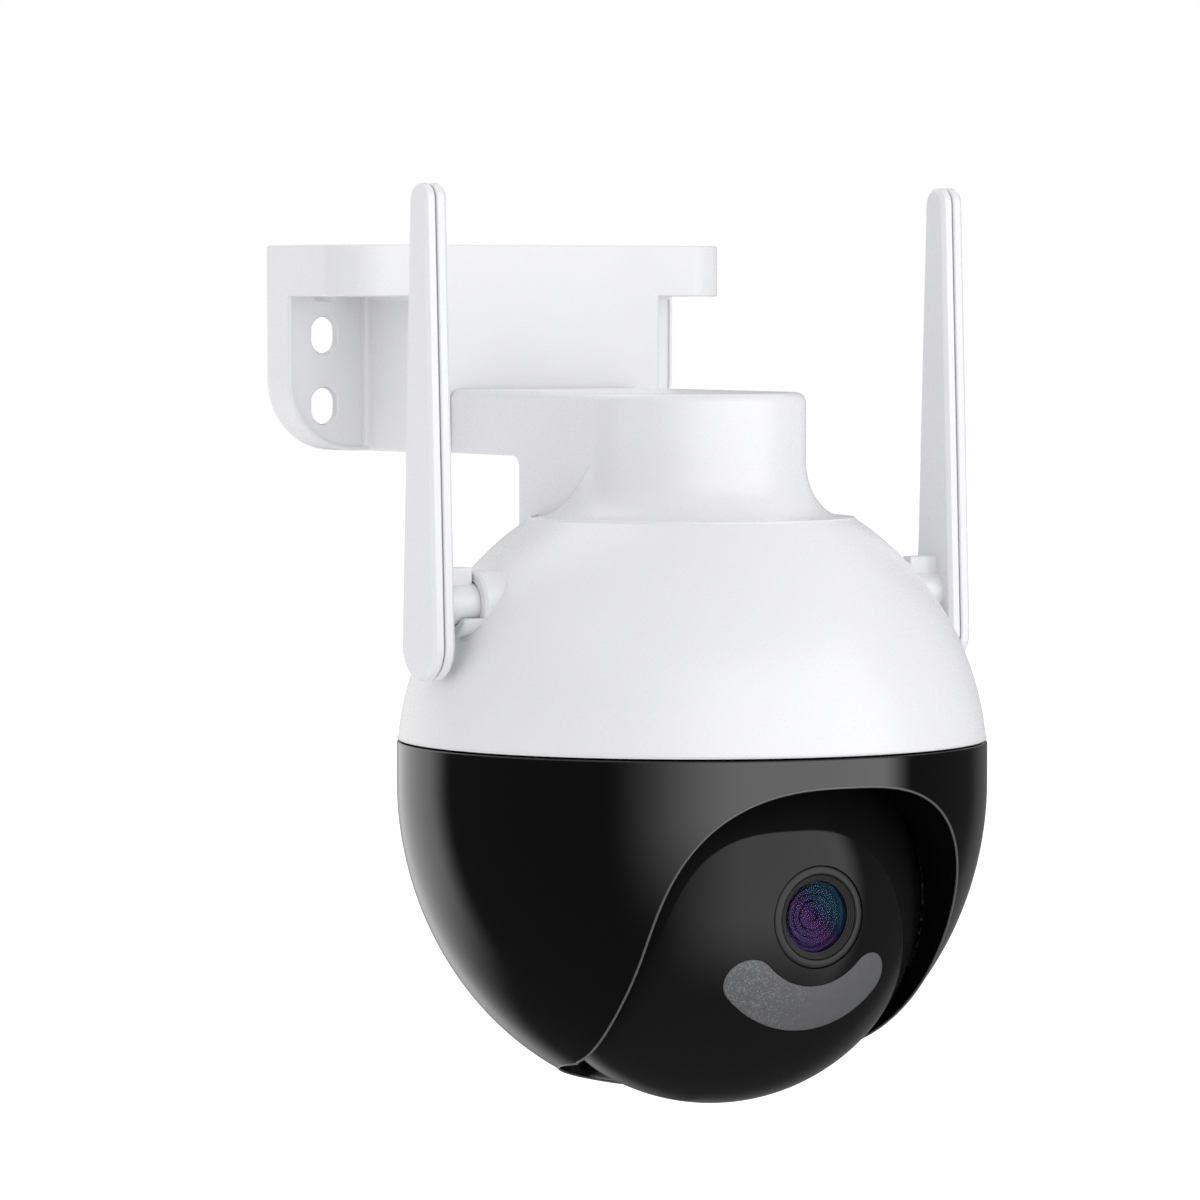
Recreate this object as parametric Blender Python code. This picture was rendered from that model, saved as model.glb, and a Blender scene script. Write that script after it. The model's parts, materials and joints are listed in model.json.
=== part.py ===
"""Wall and ceiling mounted security camera with a panning head, a tilting eyeball and two antennas.

Run with: blender --background --python part.py
World frame: +Z up, -Y is the camera's front, the wall is the plane Y = 0, and the origin is the
centre of the wall-mounting face.  Shapes are drawn in millimetres and scaled to metres.
"""
import math

import bmesh
import bpy
from mathutils import Matrix

MM = 0.001          # drawing unit, in metres
GAP = 0.3           # assembly gap between neighbouring pieces
SHY = 0.05          # keeps faces that nearly meet from lying in one plane

# Places
DOME_CENTRE = (0.0, -90.8, -78.4)   # centre of the spherical body, on the pan axis
EYE_CENTRE = (0.0, -6.7, -23.7)     # from the dome centre, on the tilt axis
EYE_REST_TILT = 2.4                 # degrees that the lens looks down at rest
HINGE_Z = 31.6                      # antenna hinge axis above the dome centre

# Wall bracket
BRACKET_HALF = 43.95
BRACKET_DEPTH = 34.6
BRACKET_HALF_HEIGHT = 20.3
SLAB_LOW = 10.2
SLAB_CORNER = 10.5
PLATE_DEPTH = 9.5
PLATE_CORNER = 14.0
BOX_HALF = 26.3
WALL = 2.2
RIB_HALF = 1.5
SLOT_X = 35.9
SLOT_HEIGHTS = (2.6, -11.4)
SLOT_DEPTHS = (-12.5, -25.5)
SLOT_WIDTH = 5.5
SLOT_LENGTH = 7.3
ARM_SCREW_X = 14.0
CABLE_PASS_HALF = 7.0

# Arm and neck
ARM_HALF = 21.6
ARM_LOW = 58.1
ARM_HIGH = 70.5
ARM_WALL = 2.5
COLUMN_BACK = 29.6
NECK_BASE_R = 30.1
NECK_SEAT_Z = 44.6
FLARE = ((21.6, 58.0), (21.9, 55.8), (22.7, 53.6), (24.2, 51.0), (26.8, 48.5), (30.1, 46.8))
NECK_BORE_R = 17.5
NECK_SCREW_R = 20.5
BRACKET_DEPTH_FROM_DOME = -DOME_CENTRE[1] - BRACKET_DEPTH

# Dome
DOME_R = 56.0
DOME_WALL = 2.4
SEAT_EDGE_ANGLE = math.degrees(math.acos(NECK_BASE_R / (DOME_R + GAP)))
SEAM_Z = 4.9
BOSS_R = 6.2
BOSS_END = 47.9
COLLAR_END = 51.8
COLLAR_TOP = -2.5   # from the hinge axis
BOSS_BORE_R = 4.2
POST_RADIUS = 41.0
POST_ANGLES = (30, 150, 270)

# Pan drive, heights above the dome centre
CARRIER_R = 45.5
CARRIER_Z = (24.6, 26.6)
NOTCH_X = 37.9
PAN_GEAR_TEETH = 40
PINION_TEETH = 12
MODULE = 1.0
PAN_GEAR_Z = (20.6, 23.6)
FRAME_TOP_Z = (18.3, 20.3)
HUB_R = (7.0, 9.5)
HUB_TOP = 31.4

# Head
HEAD_R = 56.0
HEAD_STRAIGHT_Z = -3.0
HEAD_DEPTH = 61.5
HEAD_WALL = 2.4
HEAD_TOP = 4.6
ARCH_HALF = 32.7
ARCH_CENTRE_Z = -33.7
ARCH_RISE = 33.0
ARCH_DROP = 36.0
ARCH_POWER = 2.7
ARCH_WALL = 1.8
ARCH_BACK = 14.0
ARCH_CORNER = 22.0
LIP_HALF = 29.5     # the opening's way out at the bottom, seen from below
LIP_CORNER = 20.0
LIP_TOP = -50.5
SPEAKER_Z = -11.0
COVER_X = 9.0
COVER_Z = (-34.0, -26.0)
RESET_PLACE = (-6.0, 0.0, -30.0)
RING_Z = (1.5, 3.7)
RING_BORE = 42.0
HEAD_POST_R = 50.5
HEAD_POST_ANGLES = (25, 155, 205, 335)
SIDE_PLATE_X = (41.0, 43.5)
SIDE_PLATE_Y = (-14.7, -2.7)

# Eyeball, from its own centre
EYE_R = 40.0
EYE_WALL = 2.0
EYE_FLAT = 35.0
EYE_SPLIT = 9.0
TRUNNION_R = 4.0
TILT_GEAR_TEETH = 28
TILT_GEAR_X = (36.6, 39.6)
TILT_PINION_ANGLE = 50.0
LENS_RING_R = 9.5
LIGHT_R = (13.0, 21.8)
LIGHT_HALF_ANGLE = 47.0

# Antennas
BLADE_X = (54.35, 59.15)
BLADE_SPLIT = 56.75
BLADE_LOW = -14.1       # from the hinge axis
BLADE_HIGH = 77.9
BLADE_BOTTOM_R = 6.5
BLADE_TOP_R = 3.15
BARREL_R = 3.9

BIG = 32        # sides of the large turned pieces
MEDIUM = 24
SMALL = 10


# ---------- materials ----------
def material(name, colour, roughness, metallic=0.0, alpha=1.0):
    mat = bpy.data.materials.new(name)
    mat.use_nodes = True
    shader = mat.node_tree.nodes["Principled BSDF"]
    shader.inputs["Base Color"].default_value = (*colour, 1.0)
    shader.inputs["Roughness"].default_value = roughness
    shader.inputs["Metallic"].default_value = metallic
    shader.inputs["Alpha"].default_value = alpha
    return mat


def make_materials():
    return {
        "white": material("white_plastic", (0.86, 0.87, 0.89), 0.35),
        "black": material("black_gloss_plastic", (0.008, 0.008, 0.009), 0.08),
        "matte": material("black_matte_plastic", (0.02, 0.02, 0.02), 0.6),
        "frame": material("grey_frame_plastic", (0.22, 0.22, 0.23), 0.55),
        "gear": material("white_acetal", (0.78, 0.77, 0.72), 0.4),
        "rubber": material("black_rubber", (0.03, 0.03, 0.03), 0.8),
        "steel": material("screw_steel", (0.6, 0.6, 0.6), 0.3, 1.0),
        "can": material("motor_can", (0.65, 0.65, 0.66), 0.35, 1.0),
        "board": material("green_board", (0.02, 0.16, 0.07), 0.5),
        "ring": material("grey_ring", (0.09, 0.09, 0.095), 0.35),
        "glass": material("coated_glass", (0.03, 0.02, 0.08), 0.03),
        "diffuser": material("frosted_diffuser", (0.42, 0.42, 0.43), 0.45),
        "led": material("led_yellow", (0.85, 0.75, 0.3), 0.4),
        "copper": material("antenna_copper", (0.72, 0.36, 0.2), 0.35, 1.0),
        "card": material("speaker_paper", (0.07, 0.07, 0.07), 0.7),
    }


# ---------- outlines ----------
def arc(cx, cy, radius, start, end, steps):
    """Points on an arc from start to end, in degrees, both ends included."""
    points = []
    for i in range(steps + 1):
        a = math.radians(start + (end - start) * i / steps)
        points.append((cx + radius * math.cos(a), cy + radius * math.sin(a)))
    return points


def rounded(x0, x1, y0, y1, radii, steps=5):
    """A rectangle with corner radii in the order low-left, low-right, high-right, high-left."""
    corners = ((x0, y0, 1, 1, 180), (x1, y0, -1, 1, 270), (x1, y1, -1, -1, 0), (x0, y1, 1, -1, 90))
    points = []
    for (x, y, sx, sy, start), radius in zip(corners, radii):
        if radius > 0:
            points += arc(x + sx * radius, y + sy * radius, radius, start, start + 90, steps)
        else:
            points.append((x, y))
    return points


def arch(grow=0.0, count=36):
    """The superellipse that outlines the head's opening, seen from the front."""
    points = []
    for i in range(count):
        a = 2 * math.pi * i / count
        c, s = math.cos(a), math.sin(a)
        height = (ARCH_RISE if s > 0 else ARCH_DROP) + grow
        x = math.copysign(abs(c) ** (2 / ARCH_POWER), c) * (ARCH_HALF + grow)
        z = math.copysign(abs(s) ** (2 / ARCH_POWER), s) * height
        points.append((x, ARCH_CENTRE_Z + z))
    return points


def gear_outline(teeth):
    """Straight-sided teeth with running clearance, seen along the gear's axis."""
    pitch_r = MODULE * teeth / 2
    step = 360 / teeth
    root, tip = pitch_r - 1.1 * MODULE, pitch_r + 0.75 * MODULE
    points = []
    for i in range(teeth):
        for offset, radius in ((-0.21, root), (-0.09, tip), (0.09, tip), (0.21, root)):
            a = math.radians(step * (i + offset))
            points.append((radius * math.cos(a), radius * math.sin(a)))
    return points


def light_outline(grow=0.0):
    """The crescent below the lens: a band of constant width with rounded ends."""
    inner, outer = LIGHT_R
    middle, half = (inner + outer) / 2, (outer - inner) / 2 + grow
    left, right = 270 - LIGHT_HALF_ANGLE, 270 + LIGHT_HALF_ANGLE
    points = arc(0, 0, middle + half, left, right, 14)
    for side, start in ((right, right), (left, left + 180)):
        a = math.radians(side)
        cx, cy = middle * math.cos(a), middle * math.sin(a)
        if side == right:
            points += arc(cx, cy, half, start, start + 180, 7)[1:-1]
            points += arc(0, 0, middle - half, right, left, 12)
        else:
            points += arc(cx, cy, half, start, start + 180, 7)[1:-1]
    return points


def head_profile(top, inset=0.0, steps=12):
    """Half outline of the head as a solid: from the axis down the side to the axis again."""
    points = [(0.0, top), (HEAD_R - inset, top)]
    for i in range(steps + 1):
        a = math.pi / 2 * i / steps
        points.append(((HEAD_R - inset) * math.cos(a), HEAD_STRAIGHT_Z - (HEAD_DEPTH - inset) * math.sin(a)))
    points[-1] = (0.0, HEAD_STRAIGHT_Z - HEAD_DEPTH + inset)
    return points


# ---------- solids ----------
AXES = {"X": (1, 2, 0), "Y": (0, 2, 1), "Z": (0, 1, 2)}


def prism(outline, low, high, axis="Z", centre=(0.0, 0.0)):
    """An outline drawn across an axis, extruded from low to high along it."""
    first, second, along = AXES[axis]
    bm = bmesh.new()
    loops = []
    for level in (low, high):
        loop = []
        for a, b in outline:
            co = [0.0, 0.0, 0.0]
            co[first], co[second], co[along] = a + centre[0], b + centre[1], level
            loop.append(bm.verts.new(co))
        loops.append(loop)
    count = len(outline)
    bm.faces.new(loops[0])
    bm.faces.new(loops[1])
    for i in range(count):
        j = (i + 1) % count
        bm.faces.new((loops[0][i], loops[0][j], loops[1][j], loops[1][i]))
    return bm


def box(x0, x1, y0, y1, z0, z1):
    return prism([(x0, y0), (x1, y0), (x1, y1), (x0, y1)], z0, z1)


def disc(radius, low, high, axis="Z", centre=(0.0, 0.0), sides=SMALL):
    return prism(arc(0, 0, radius, 7, 367, sides)[:-1], low, high, axis, centre)


def lathe(profile, sides=BIG, axis="Z", centre=(0.0, 0.0)):
    """A closed half outline of (radius, height) points, turned about an axis."""
    first, second, along = AXES[axis]
    bm = bmesh.new()
    rings = []
    for radius, height in profile:
        ring = []
        for i in range(sides if radius > 1e-6 else 1):
            a = 2 * math.pi * i / sides
            co = [0.0, 0.0, 0.0]
            co[first] = centre[0] + radius * math.cos(a)
            co[second] = centre[1] + radius * math.sin(a)
            co[along] = height
            ring.append(bm.verts.new(co))
        rings.append(ring)
    for ring, other in zip(rings, rings[1:] + rings[:1]):
        for i in range(sides):
            j = (i + 1) % sides
            corners = [ring[i % len(ring)], ring[j % len(ring)], other[j % len(other)], other[i % len(other)]]
            face = []
            for vert in corners:
                if vert not in face:
                    face.append(vert)
            if len(face) > 2:
                bm.faces.new(face)
    return bm


def ball(radius, rings=14, sides=28, centre_y=0.0):
    """A sphere whose poles lie on the Y axis."""
    profile = [(0.0, centre_y - radius)]
    for i in range(1, rings):
        a = math.pi * i / rings
        profile.append((radius * math.sin(a), centre_y - radius * math.cos(a)))
    profile.append((0.0, centre_y + radius))
    return lathe(profile, sides, "Y")


def shifted(bm, x=0.0, y=0.0, z=0.0):
    bmesh.ops.translate(bm, verts=bm.verts, vec=(x, y, z))
    return bm


def turned(bm, degrees, axis="Z"):
    turn = Matrix.Rotation(math.radians(degrees), 3, axis)
    bmesh.ops.rotate(bm, verts=bm.verts, cent=(0, 0, 0), matrix=turn)
    return bm


# ---------- objects ----------
def add_object(name, bm, parent):
    bmesh.ops.recalc_face_normals(bm, faces=bm.faces)
    bmesh.ops.scale(bm, verts=bm.verts, vec=(MM, MM, MM))
    mesh = bpy.data.meshes.new(name)
    bm.to_mesh(mesh)
    bm.free()
    obj = bpy.data.objects.new(name, mesh)
    bpy.context.scene.collection.objects.link(obj)
    obj.parent = parent
    return obj


def piece(name, bm, mat, parent=None, cuts=(), adds=(), place=(0, 0, 0)):
    """A finished sub-part: a first solid, joined with the adds and then cut by the cuts."""
    obj = add_object(name, bm, parent)
    obj.location = [v * MM for v in place]
    obj.data.materials.append(mat)
    obj.data.shade_smooth()
    obj.data.set_sharp_from_angle(angle=math.radians(35))
    for operation, tools in (("UNION", adds), ("DIFFERENCE", cuts)):
        for tool in tools:
            shape(obj, tool, operation)
    return obj


def shape(obj, tool, operation):
    """One Boolean step on obj, by a loose solid or by a tool object."""
    if isinstance(tool, bmesh.types.BMesh):
        tool = cutter(obj.name, tool, obj.parent)
        tool.location = obj.location
    step = obj.modifiers.new(operation.lower(), "BOOLEAN")
    step.operation = operation
    step.solver = "EXACT"
    step.object = tool


def cutter(owner, bm, parent=None, cuts=()):
    """A tool body that only shapes its owner."""
    obj = add_object("tool_" + owner, bm, parent)
    obj.hide_render = True
    obj.display_type = "WIRE"
    for tool in cuts:
        shape(obj, tool, "DIFFERENCE")
    return obj


def axis_empty(name, place, parent=None, tilt=0.0):
    obj = bpy.data.objects.new(name, None)
    obj.location = [v * MM for v in place]
    obj.rotation_euler = (math.radians(tilt), 0, 0)
    obj.parent = parent
    bpy.context.scene.collection.objects.link(obj)
    return obj


def screw(name, mat, parent, head_face, tip, axis="Z", centre=(0.0, 0.0), head_r=2.5):
    """A pan-head screw whose head sits on head_face and whose point reaches tip."""
    shank_r, head_height = 1.2, 1.7
    way = 1 if tip > head_face else -1
    under = head_face
    top = under - way * head_height
    profile = [(0.0, top), (head_r * 0.8, top), (head_r, under), (shank_r, under)]
    profile += [(shank_r, tip), (0.0, tip)]
    return piece(name, lathe(profile, 10, axis, centre), mat, parent)


# ---------- bracket, arm and neck ----------
def make_bracket(mats):
    top, low = BRACKET_HALF_HEIGHT, -BRACKET_HALF_HEIGHT
    half, depth = BRACKET_HALF, BRACKET_DEPTH
    slab = prism(rounded(-half, half, -depth, 0, (SLAB_CORNER, SLAB_CORNER, 0, 0)), SLAB_LOW, top)
    plate_outline = rounded(-half, half, low, SLAB_LOW + 1, (PLATE_CORNER, PLATE_CORNER, 0, 0))
    plate = prism(plate_outline, -PLATE_DEPTH, 0, "Y")
    core = box(-BOX_HALF, BOX_HALF, -depth, 0, low, SLAB_LOW + 1)
    cuts = []
    inner = BOX_HALF - WALL
    # the central box, with a rib left on the middle line for the wall and for the ceiling
    cuts.append(box(-inner, inner, WALL - depth, -PLATE_DEPTH, low + WALL, SLAB_LOW))
    for side in (-1, 1):
        x0, x1 = sorted((side * RIB_HALF, side * inner))
        cuts.append(box(x0, x1, WALL - depth, 1, low + WALL, top + 1))
        # the hollow wings beside it
        x0, x1 = sorted((side * BOX_HALF, side * (half - WALL)))
        corner = SLAB_CORNER - WALL
        front = (corner, 0, 0, 0) if side < 0 else (0, corner, 0, 0)
        cuts.append(prism(rounded(x0, x1, WALL - depth, 1, front), SLAB_LOW + WALL, top + 1))
        corner = PLATE_CORNER - WALL
        foot = (corner, 0, 0, 0) if side < 0 else (0, corner, 0, 0)
        cuts.append(prism(rounded(x0, x1, low + WALL, SLAB_LOW + WALL + 1, foot), WALL - PLATE_DEPTH, 1, "Y"))
        r = SLOT_WIDTH / 2
        reach = SLOT_LENGTH / 2
        for height in SLOT_HEIGHTS:
            slot = rounded(-r, r, -reach, reach, (r, r, r, r), 4)
            cuts.append(prism(slot, -PLATE_DEPTH - 1, 0, "Y", (side * SLOT_X, height)))
        for back in SLOT_DEPTHS:
            slot = rounded(-r, r, -reach, reach, (r, r, r, r), 4)
            cuts.append(prism(slot, SLAB_LOW - 1, SLAB_LOW + WALL + 1, "Z", (side * SLOT_X, back)))
        screw_place = (side * ARM_SCREW_X, arm_screw_height())
        cuts.append(disc(1.6, -depth - 1, WALL - depth + 1, "Y", screw_place, 10))
    pass_low, pass_high = cable_pass_heights()
    r = CABLE_PASS_HALF
    cuts.append(box(-r, r, -depth - 1, WALL - depth + 1, pass_low, pass_high))
    cuts.append(disc(3.6, low - 1, low + WALL + 1, "Z", grommet_place()))
    return piece("wall_bracket", core, mats["white"], None, cuts, [plate, slab])


def arm_screw_height():
    return (ARM_LOW + ARM_HIGH) / 2 + DOME_CENTRE[2]


def cable_pass_heights():
    return ARM_LOW + ARM_WALL + DOME_CENTRE[2], ARM_HIGH - ARM_WALL + DOME_CENTRE[2]


def grommet_place():
    return (12.0, -20.0)


def make_grommet(mats):
    low = -BRACKET_HALF_HEIGHT
    bore, neck, flange = 2.2, 3.3, 5.2
    profile = [(bore, low - 1.4), (flange, low - 1.4), (flange, low - GAP), (neck, low - GAP)]
    profile += [(neck, low + WALL + GAP), (flange, low + WALL + GAP), (flange - 0.6, low + WALL + 1.5)]
    profile += [(bore, low + WALL + 1.5)]
    return piece("cable_grommet", lathe(profile, 16, "Z", grommet_place()), mats["rubber"])


def make_arm(mats, dome):
    back = BRACKET_DEPTH_FROM_DOME - GAP
    neck = [(0.0, ARM_HIGH - SHY), (ARM_HALF, ARM_HIGH - SHY), *FLARE, (NECK_BASE_R, NECK_SEAT_Z + 2 * GAP)]
    neck.append((0.0, NECK_SEAT_Z + 2 * GAP))
    side_view = [(0.5, 35), (COLUMN_BACK, 35), (COLUMN_BACK, ARM_LOW), (back, ARM_LOW)]
    side_view += [(back, ARM_HIGH), (0.5, ARM_HIGH)]
    arm = prism(side_view, SHY - ARM_HALF, ARM_HALF - SHY, "X")
    inner = ARM_HALF - 3.0
    high = ARM_HIGH - ARM_WALL
    # everything below the dome's surface and its seat goes
    shell_gap = arc(0, 0, DOME_R + GAP, 25, SEAT_EDGE_ANGLE, 12)
    shell_gap.insert(0, (0.0, shell_gap[0][1]))
    shell_gap += [(NECK_BASE_R - 0.4, 46.4), (NECK_BASE_R - 0.4, NECK_SEAT_Z + 2 * GAP - 0.2)]
    shell_gap.append((0.0, NECK_SEAT_Z + 2 * GAP - 0.2))
    cuts = [
        lathe(shell_gap),
        disc(NECK_BORE_R, 40, high, sides=MEDIUM),
        box(-inner, inner, 0, back - 5, ARM_LOW + ARM_WALL, high - SHY),
        box(-CABLE_PASS_HALF, CABLE_PASS_HALF, back - 6, back + 1, ARM_LOW + ARM_WALL + SHY, high - 2 * SHY),
        box(-1.8, 1.8, back - 5.6, back - 2.1, ARM_LOW - 1, ARM_LOW + 1.3),
        # groove for the gasket
        lathe([(24.7, 44), (27.8, 44), (27.8, 46.2), (24.7, 46.2)], MEDIUM + 3),
    ]
    middle = (ARM_LOW + ARM_HIGH) / 2
    for side in (-1, 1):
        cuts.append(disc(1.5, back - 7, back + 1, "Y", (side * ARM_SCREW_X, middle), 10))
        cuts.append(disc(1.5, 44, 51.5, "Z", (side * NECK_SCREW_R, 0), 10))
    return piece("arm_neck", lathe(neck), mats["white"], dome, cuts, [arm])


def make_fixings(mats, dome):
    """The screws and the seal that join the bracket, the arm and the dome."""
    middle = (ARM_LOW + ARM_HIGH) / 2
    head = BRACKET_DEPTH_FROM_DOME + WALL + GAP
    for name, side in (("left", -1), ("right", 1)):
        screw(f"arm_screw_{name}", mats["steel"], dome, head, head - 8, "Y", (side * ARM_SCREW_X, middle))
        screw(f"neck_screw_{name}", mats["steel"], dome, NECK_SEAT_Z - WALL - GAP, 50.5, "Z",
              (side * NECK_SCREW_R, 0))
    gasket = [(25.0, NECK_SEAT_Z + GAP), (27.5, NECK_SEAT_Z + GAP), (27.5, 45.9), (25.0, 45.9)]
    piece("neck_gasket", lathe(gasket, MEDIUM), mats["rubber"], dome)


# ---------- dome ----------
def make_dome_shell(mats, dome):
    inner_r = DOME_R - DOME_WALL
    seat_r = NECK_BASE_R + GAP
    start = math.degrees(math.asin(SEAM_Z / DOME_R))
    end = math.degrees(math.acos(seat_r / DOME_R))
    profile = arc(0, 0, DOME_R, start, end, 9)
    profile += [(seat_r, NECK_SEAT_Z), (16.0, NECK_SEAT_Z), (16.0, NECK_SEAT_Z - WALL)]
    floor_r = math.sqrt(inner_r ** 2 - (NECK_SEAT_Z - WALL) ** 2)
    inner_end = math.degrees(math.acos(floor_r / inner_r))
    profile += arc(0, 0, inner_r, inner_end, math.degrees(math.asin(SEAM_Z / inner_r)), 6)
    adds, cuts = [], []
    for side in (-1, 1):
        ends = sorted((side * 38.6, side * BOSS_END))
        adds.append(disc(BOSS_R, *ends, "X", (0, HINGE_Z), 20))
        # the lower collar that stops the antenna's lug
        ends = sorted((side * 44.0, side * COLLAR_END))
        low_angle = math.degrees(math.asin(-COLLAR_TOP / BOSS_R))
        collar = arc(0, 0, BOSS_R - SHY, 180 + low_angle, 360 - low_angle, 8)
        adds.append(prism(collar, *ends, "X", (0, HINGE_Z)))
        ends = sorted((side * 36.0, side * (COLLAR_END + 1)))
        cuts.append(disc(BOSS_BORE_R, *ends, "X", (0, HINGE_Z), 16))
        cuts.append(disc(1.5, 40, 46, "Z", (side * NECK_SCREW_R, 0), 10))
    for angle in POST_ANGLES:
        a = math.radians(angle)
        place = (POST_RADIUS * math.cos(a), POST_RADIUS * math.sin(a))
        adds.append(disc(3.2, CARRIER_Z[1] + GAP, 34.0, "Z", place, 10))
        cuts.append(disc(1.5, CARRIER_Z[1] - 1, 31.0, "Z", place, 8))
    return piece("upper_shell", lathe(profile), mats["white"], dome, cuts, adds)


def make_pan_drive(mats, dome, pan):
    low, high = CARRIER_Z
    distance = MODULE * (PAN_GEAR_TEETH + PINION_TEETH) / 2
    cuts = [disc(14.0, low - 1, high + 1, sides=MEDIUM), disc(7.4, low - 1, high + 1, "Z", (0, distance), 16)]
    # notches under the antenna bosses
    cuts.append(box(-CARRIER_R - 1, -NOTCH_X, -7, 7, low - 1, high + 1))
    cuts.append(box(NOTCH_X, CARRIER_R + 1, -7, 7, low - 1, high + 1))
    for index, angle in enumerate(POST_ANGLES, 1):
        a = math.radians(angle)
        place = (POST_RADIUS * math.cos(a), POST_RADIUS * math.sin(a))
        cuts.append(disc(1.6, low - 1, high + 1, "Z", place, 10))
        screw(f"carrier_screw_{index}", mats["steel"], dome, low - GAP, 30.5, "Z", place)
    piece("pan_carrier", disc(CARRIER_R, low, high, sides=BIG), mats["frame"], dome, cuts)
    bearing = [(9.8, low), (13.7, low), (13.7, low + 3.6), (9.8, low + 3.6)]
    piece("pan_bearing", lathe(bearing, MEDIUM), mats["steel"], dome)
    can = [(1.6, high + GAP), (10.0, high + GAP), (10.0, 35.9), (9.2, 36.7), (1.6, 36.7)]
    piece("pan_motor", lathe(can, 24, "Z", (0, distance)), mats["can"], dome)
    z0, z1 = PAN_GEAR_Z
    piece("pan_gear", prism(gear_outline(PAN_GEAR_TEETH), z0, z1), mats["gear"], pan,
          [disc(HUB_R[1] + GAP, z0 - 1, z1 + 1, sides=24)])
    # half a tooth's turn puts the pinion's teeth in the gear's gaps
    pinion = turned(prism(gear_outline(PINION_TEETH), z0 + 0.2, z1), 180 / PINION_TEETH)
    shaft = disc(1.2, z1 - 1, 34.0)
    piece("pan_pinion", pinion, mats["gear"], pan, (), [shaft], (0, distance, 0))
    top = low + 3.6 + GAP
    nut = [(HUB_R[1] + GAP, top), (13.4, top), (13.4, HUB_TOP - 1), (12.6, HUB_TOP - GAP)]
    nut.append((HUB_R[1] + GAP, HUB_TOP - GAP))
    piece("pan_retainer", lathe(nut, 24), mats["frame"], pan)


def make_electronics(mats, dome):
    outline = rounded(-25, 25, -18, 14, (3, 3, 3, 3), 3)
    piece("main_board", prism(outline, 37.4, 38.8), mats["board"], dome)
    piece("wifi_module", box(-19, -5, -14, -4, 35.0, 37.1), mats["can"], dome)


# ---------- panning head ----------
def make_yoke(mats, pan):
    outer = lathe(head_profile(HEAD_TOP))
    inside = lathe(head_profile(HEAD_TOP + 1, HEAD_WALL, 8))
    far = -HEAD_R - 10
    # the solid core that the opening's side walls and lower lip are carved from
    block = prism(arch(ARCH_WALL), far - 1, -10.0, "Y")
    lip = prism(lip_outline(far - 2, ARCH_WALL, 5), -75, LIP_TOP - 1.5)
    cavity = cutter("yoke_cavity", inside, pan, [block, lip])
    posts, bores = [], []
    for angle in HEAD_POST_ANGLES:
        a = math.radians(angle)
        place = (HEAD_POST_R * math.cos(a), HEAD_POST_R * math.sin(a))
        posts.append(disc(3.4, -12, RING_Z[0] - GAP, "Z", place, 12))
        bores.append(disc(1.5, -9, RING_Z[0], "Z", place, 10))
    opening = prism(arch(), far, ARCH_BACK - ARCH_CORNER, "Y")
    lower = prism(lip_outline(far + 1, 0.0, 6), -76, LIP_TOP)
    sweep = shifted(ball(EYE_R + 1.0), *EYE_CENTRE)
    for x, z in speaker_holes():
        bores.append(disc(0.8, 40, 62, "Y", (x, z), 8))
    bores.append(prism(cover_outline(GAP), 40, 62, "Y"))
    shell = piece("yoke_shell", outer, mats["black"], pan, [cavity, opening, lower, sweep])
    for post in posts:
        shape(shell, post, "UNION")
    for bore in bores:
        shape(shell, bore, "DIFFERENCE")


def lip_outline(front, grow, steps):
    """The opening's way out at the bottom, seen from below."""
    half, corner = LIP_HALF + grow, LIP_CORNER + grow
    return rounded(-half, half, front, ARCH_BACK + grow, (0, 0, corner, corner), steps)


def speaker_holes():
    """One hole in the middle and six round it, on the back of the head."""
    return [(0.0, SPEAKER_Z)] + [(x, SPEAKER_Z + z) for x, z in arc(0, 0, 4.0, 0, 300, 5)]


def cover_outline(grow=0.0):
    low, high = COVER_Z
    return rounded(-COVER_X - grow, COVER_X + grow, low - grow, high + grow, (2, 2, 2, 2), 3)


def make_service_port(mats, pan):
    """The cover over the card slot and the reset button, on the back of the head."""
    skin = lathe(head_profile(HEAD_TOP, 0.05))
    inside = lathe(head_profile(HEAD_TOP + 1, HEAD_WALL, 8))
    cover = piece("service_cover", skin, mats["black"], pan, [inside])
    shape(cover, prism(cover_outline(), 30, 62, "Y"), "INTERSECT")
    piece("card_board", box(-10, 10, 41.0, 42.2, -35.5, -25), mats["board"], pan)


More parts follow.
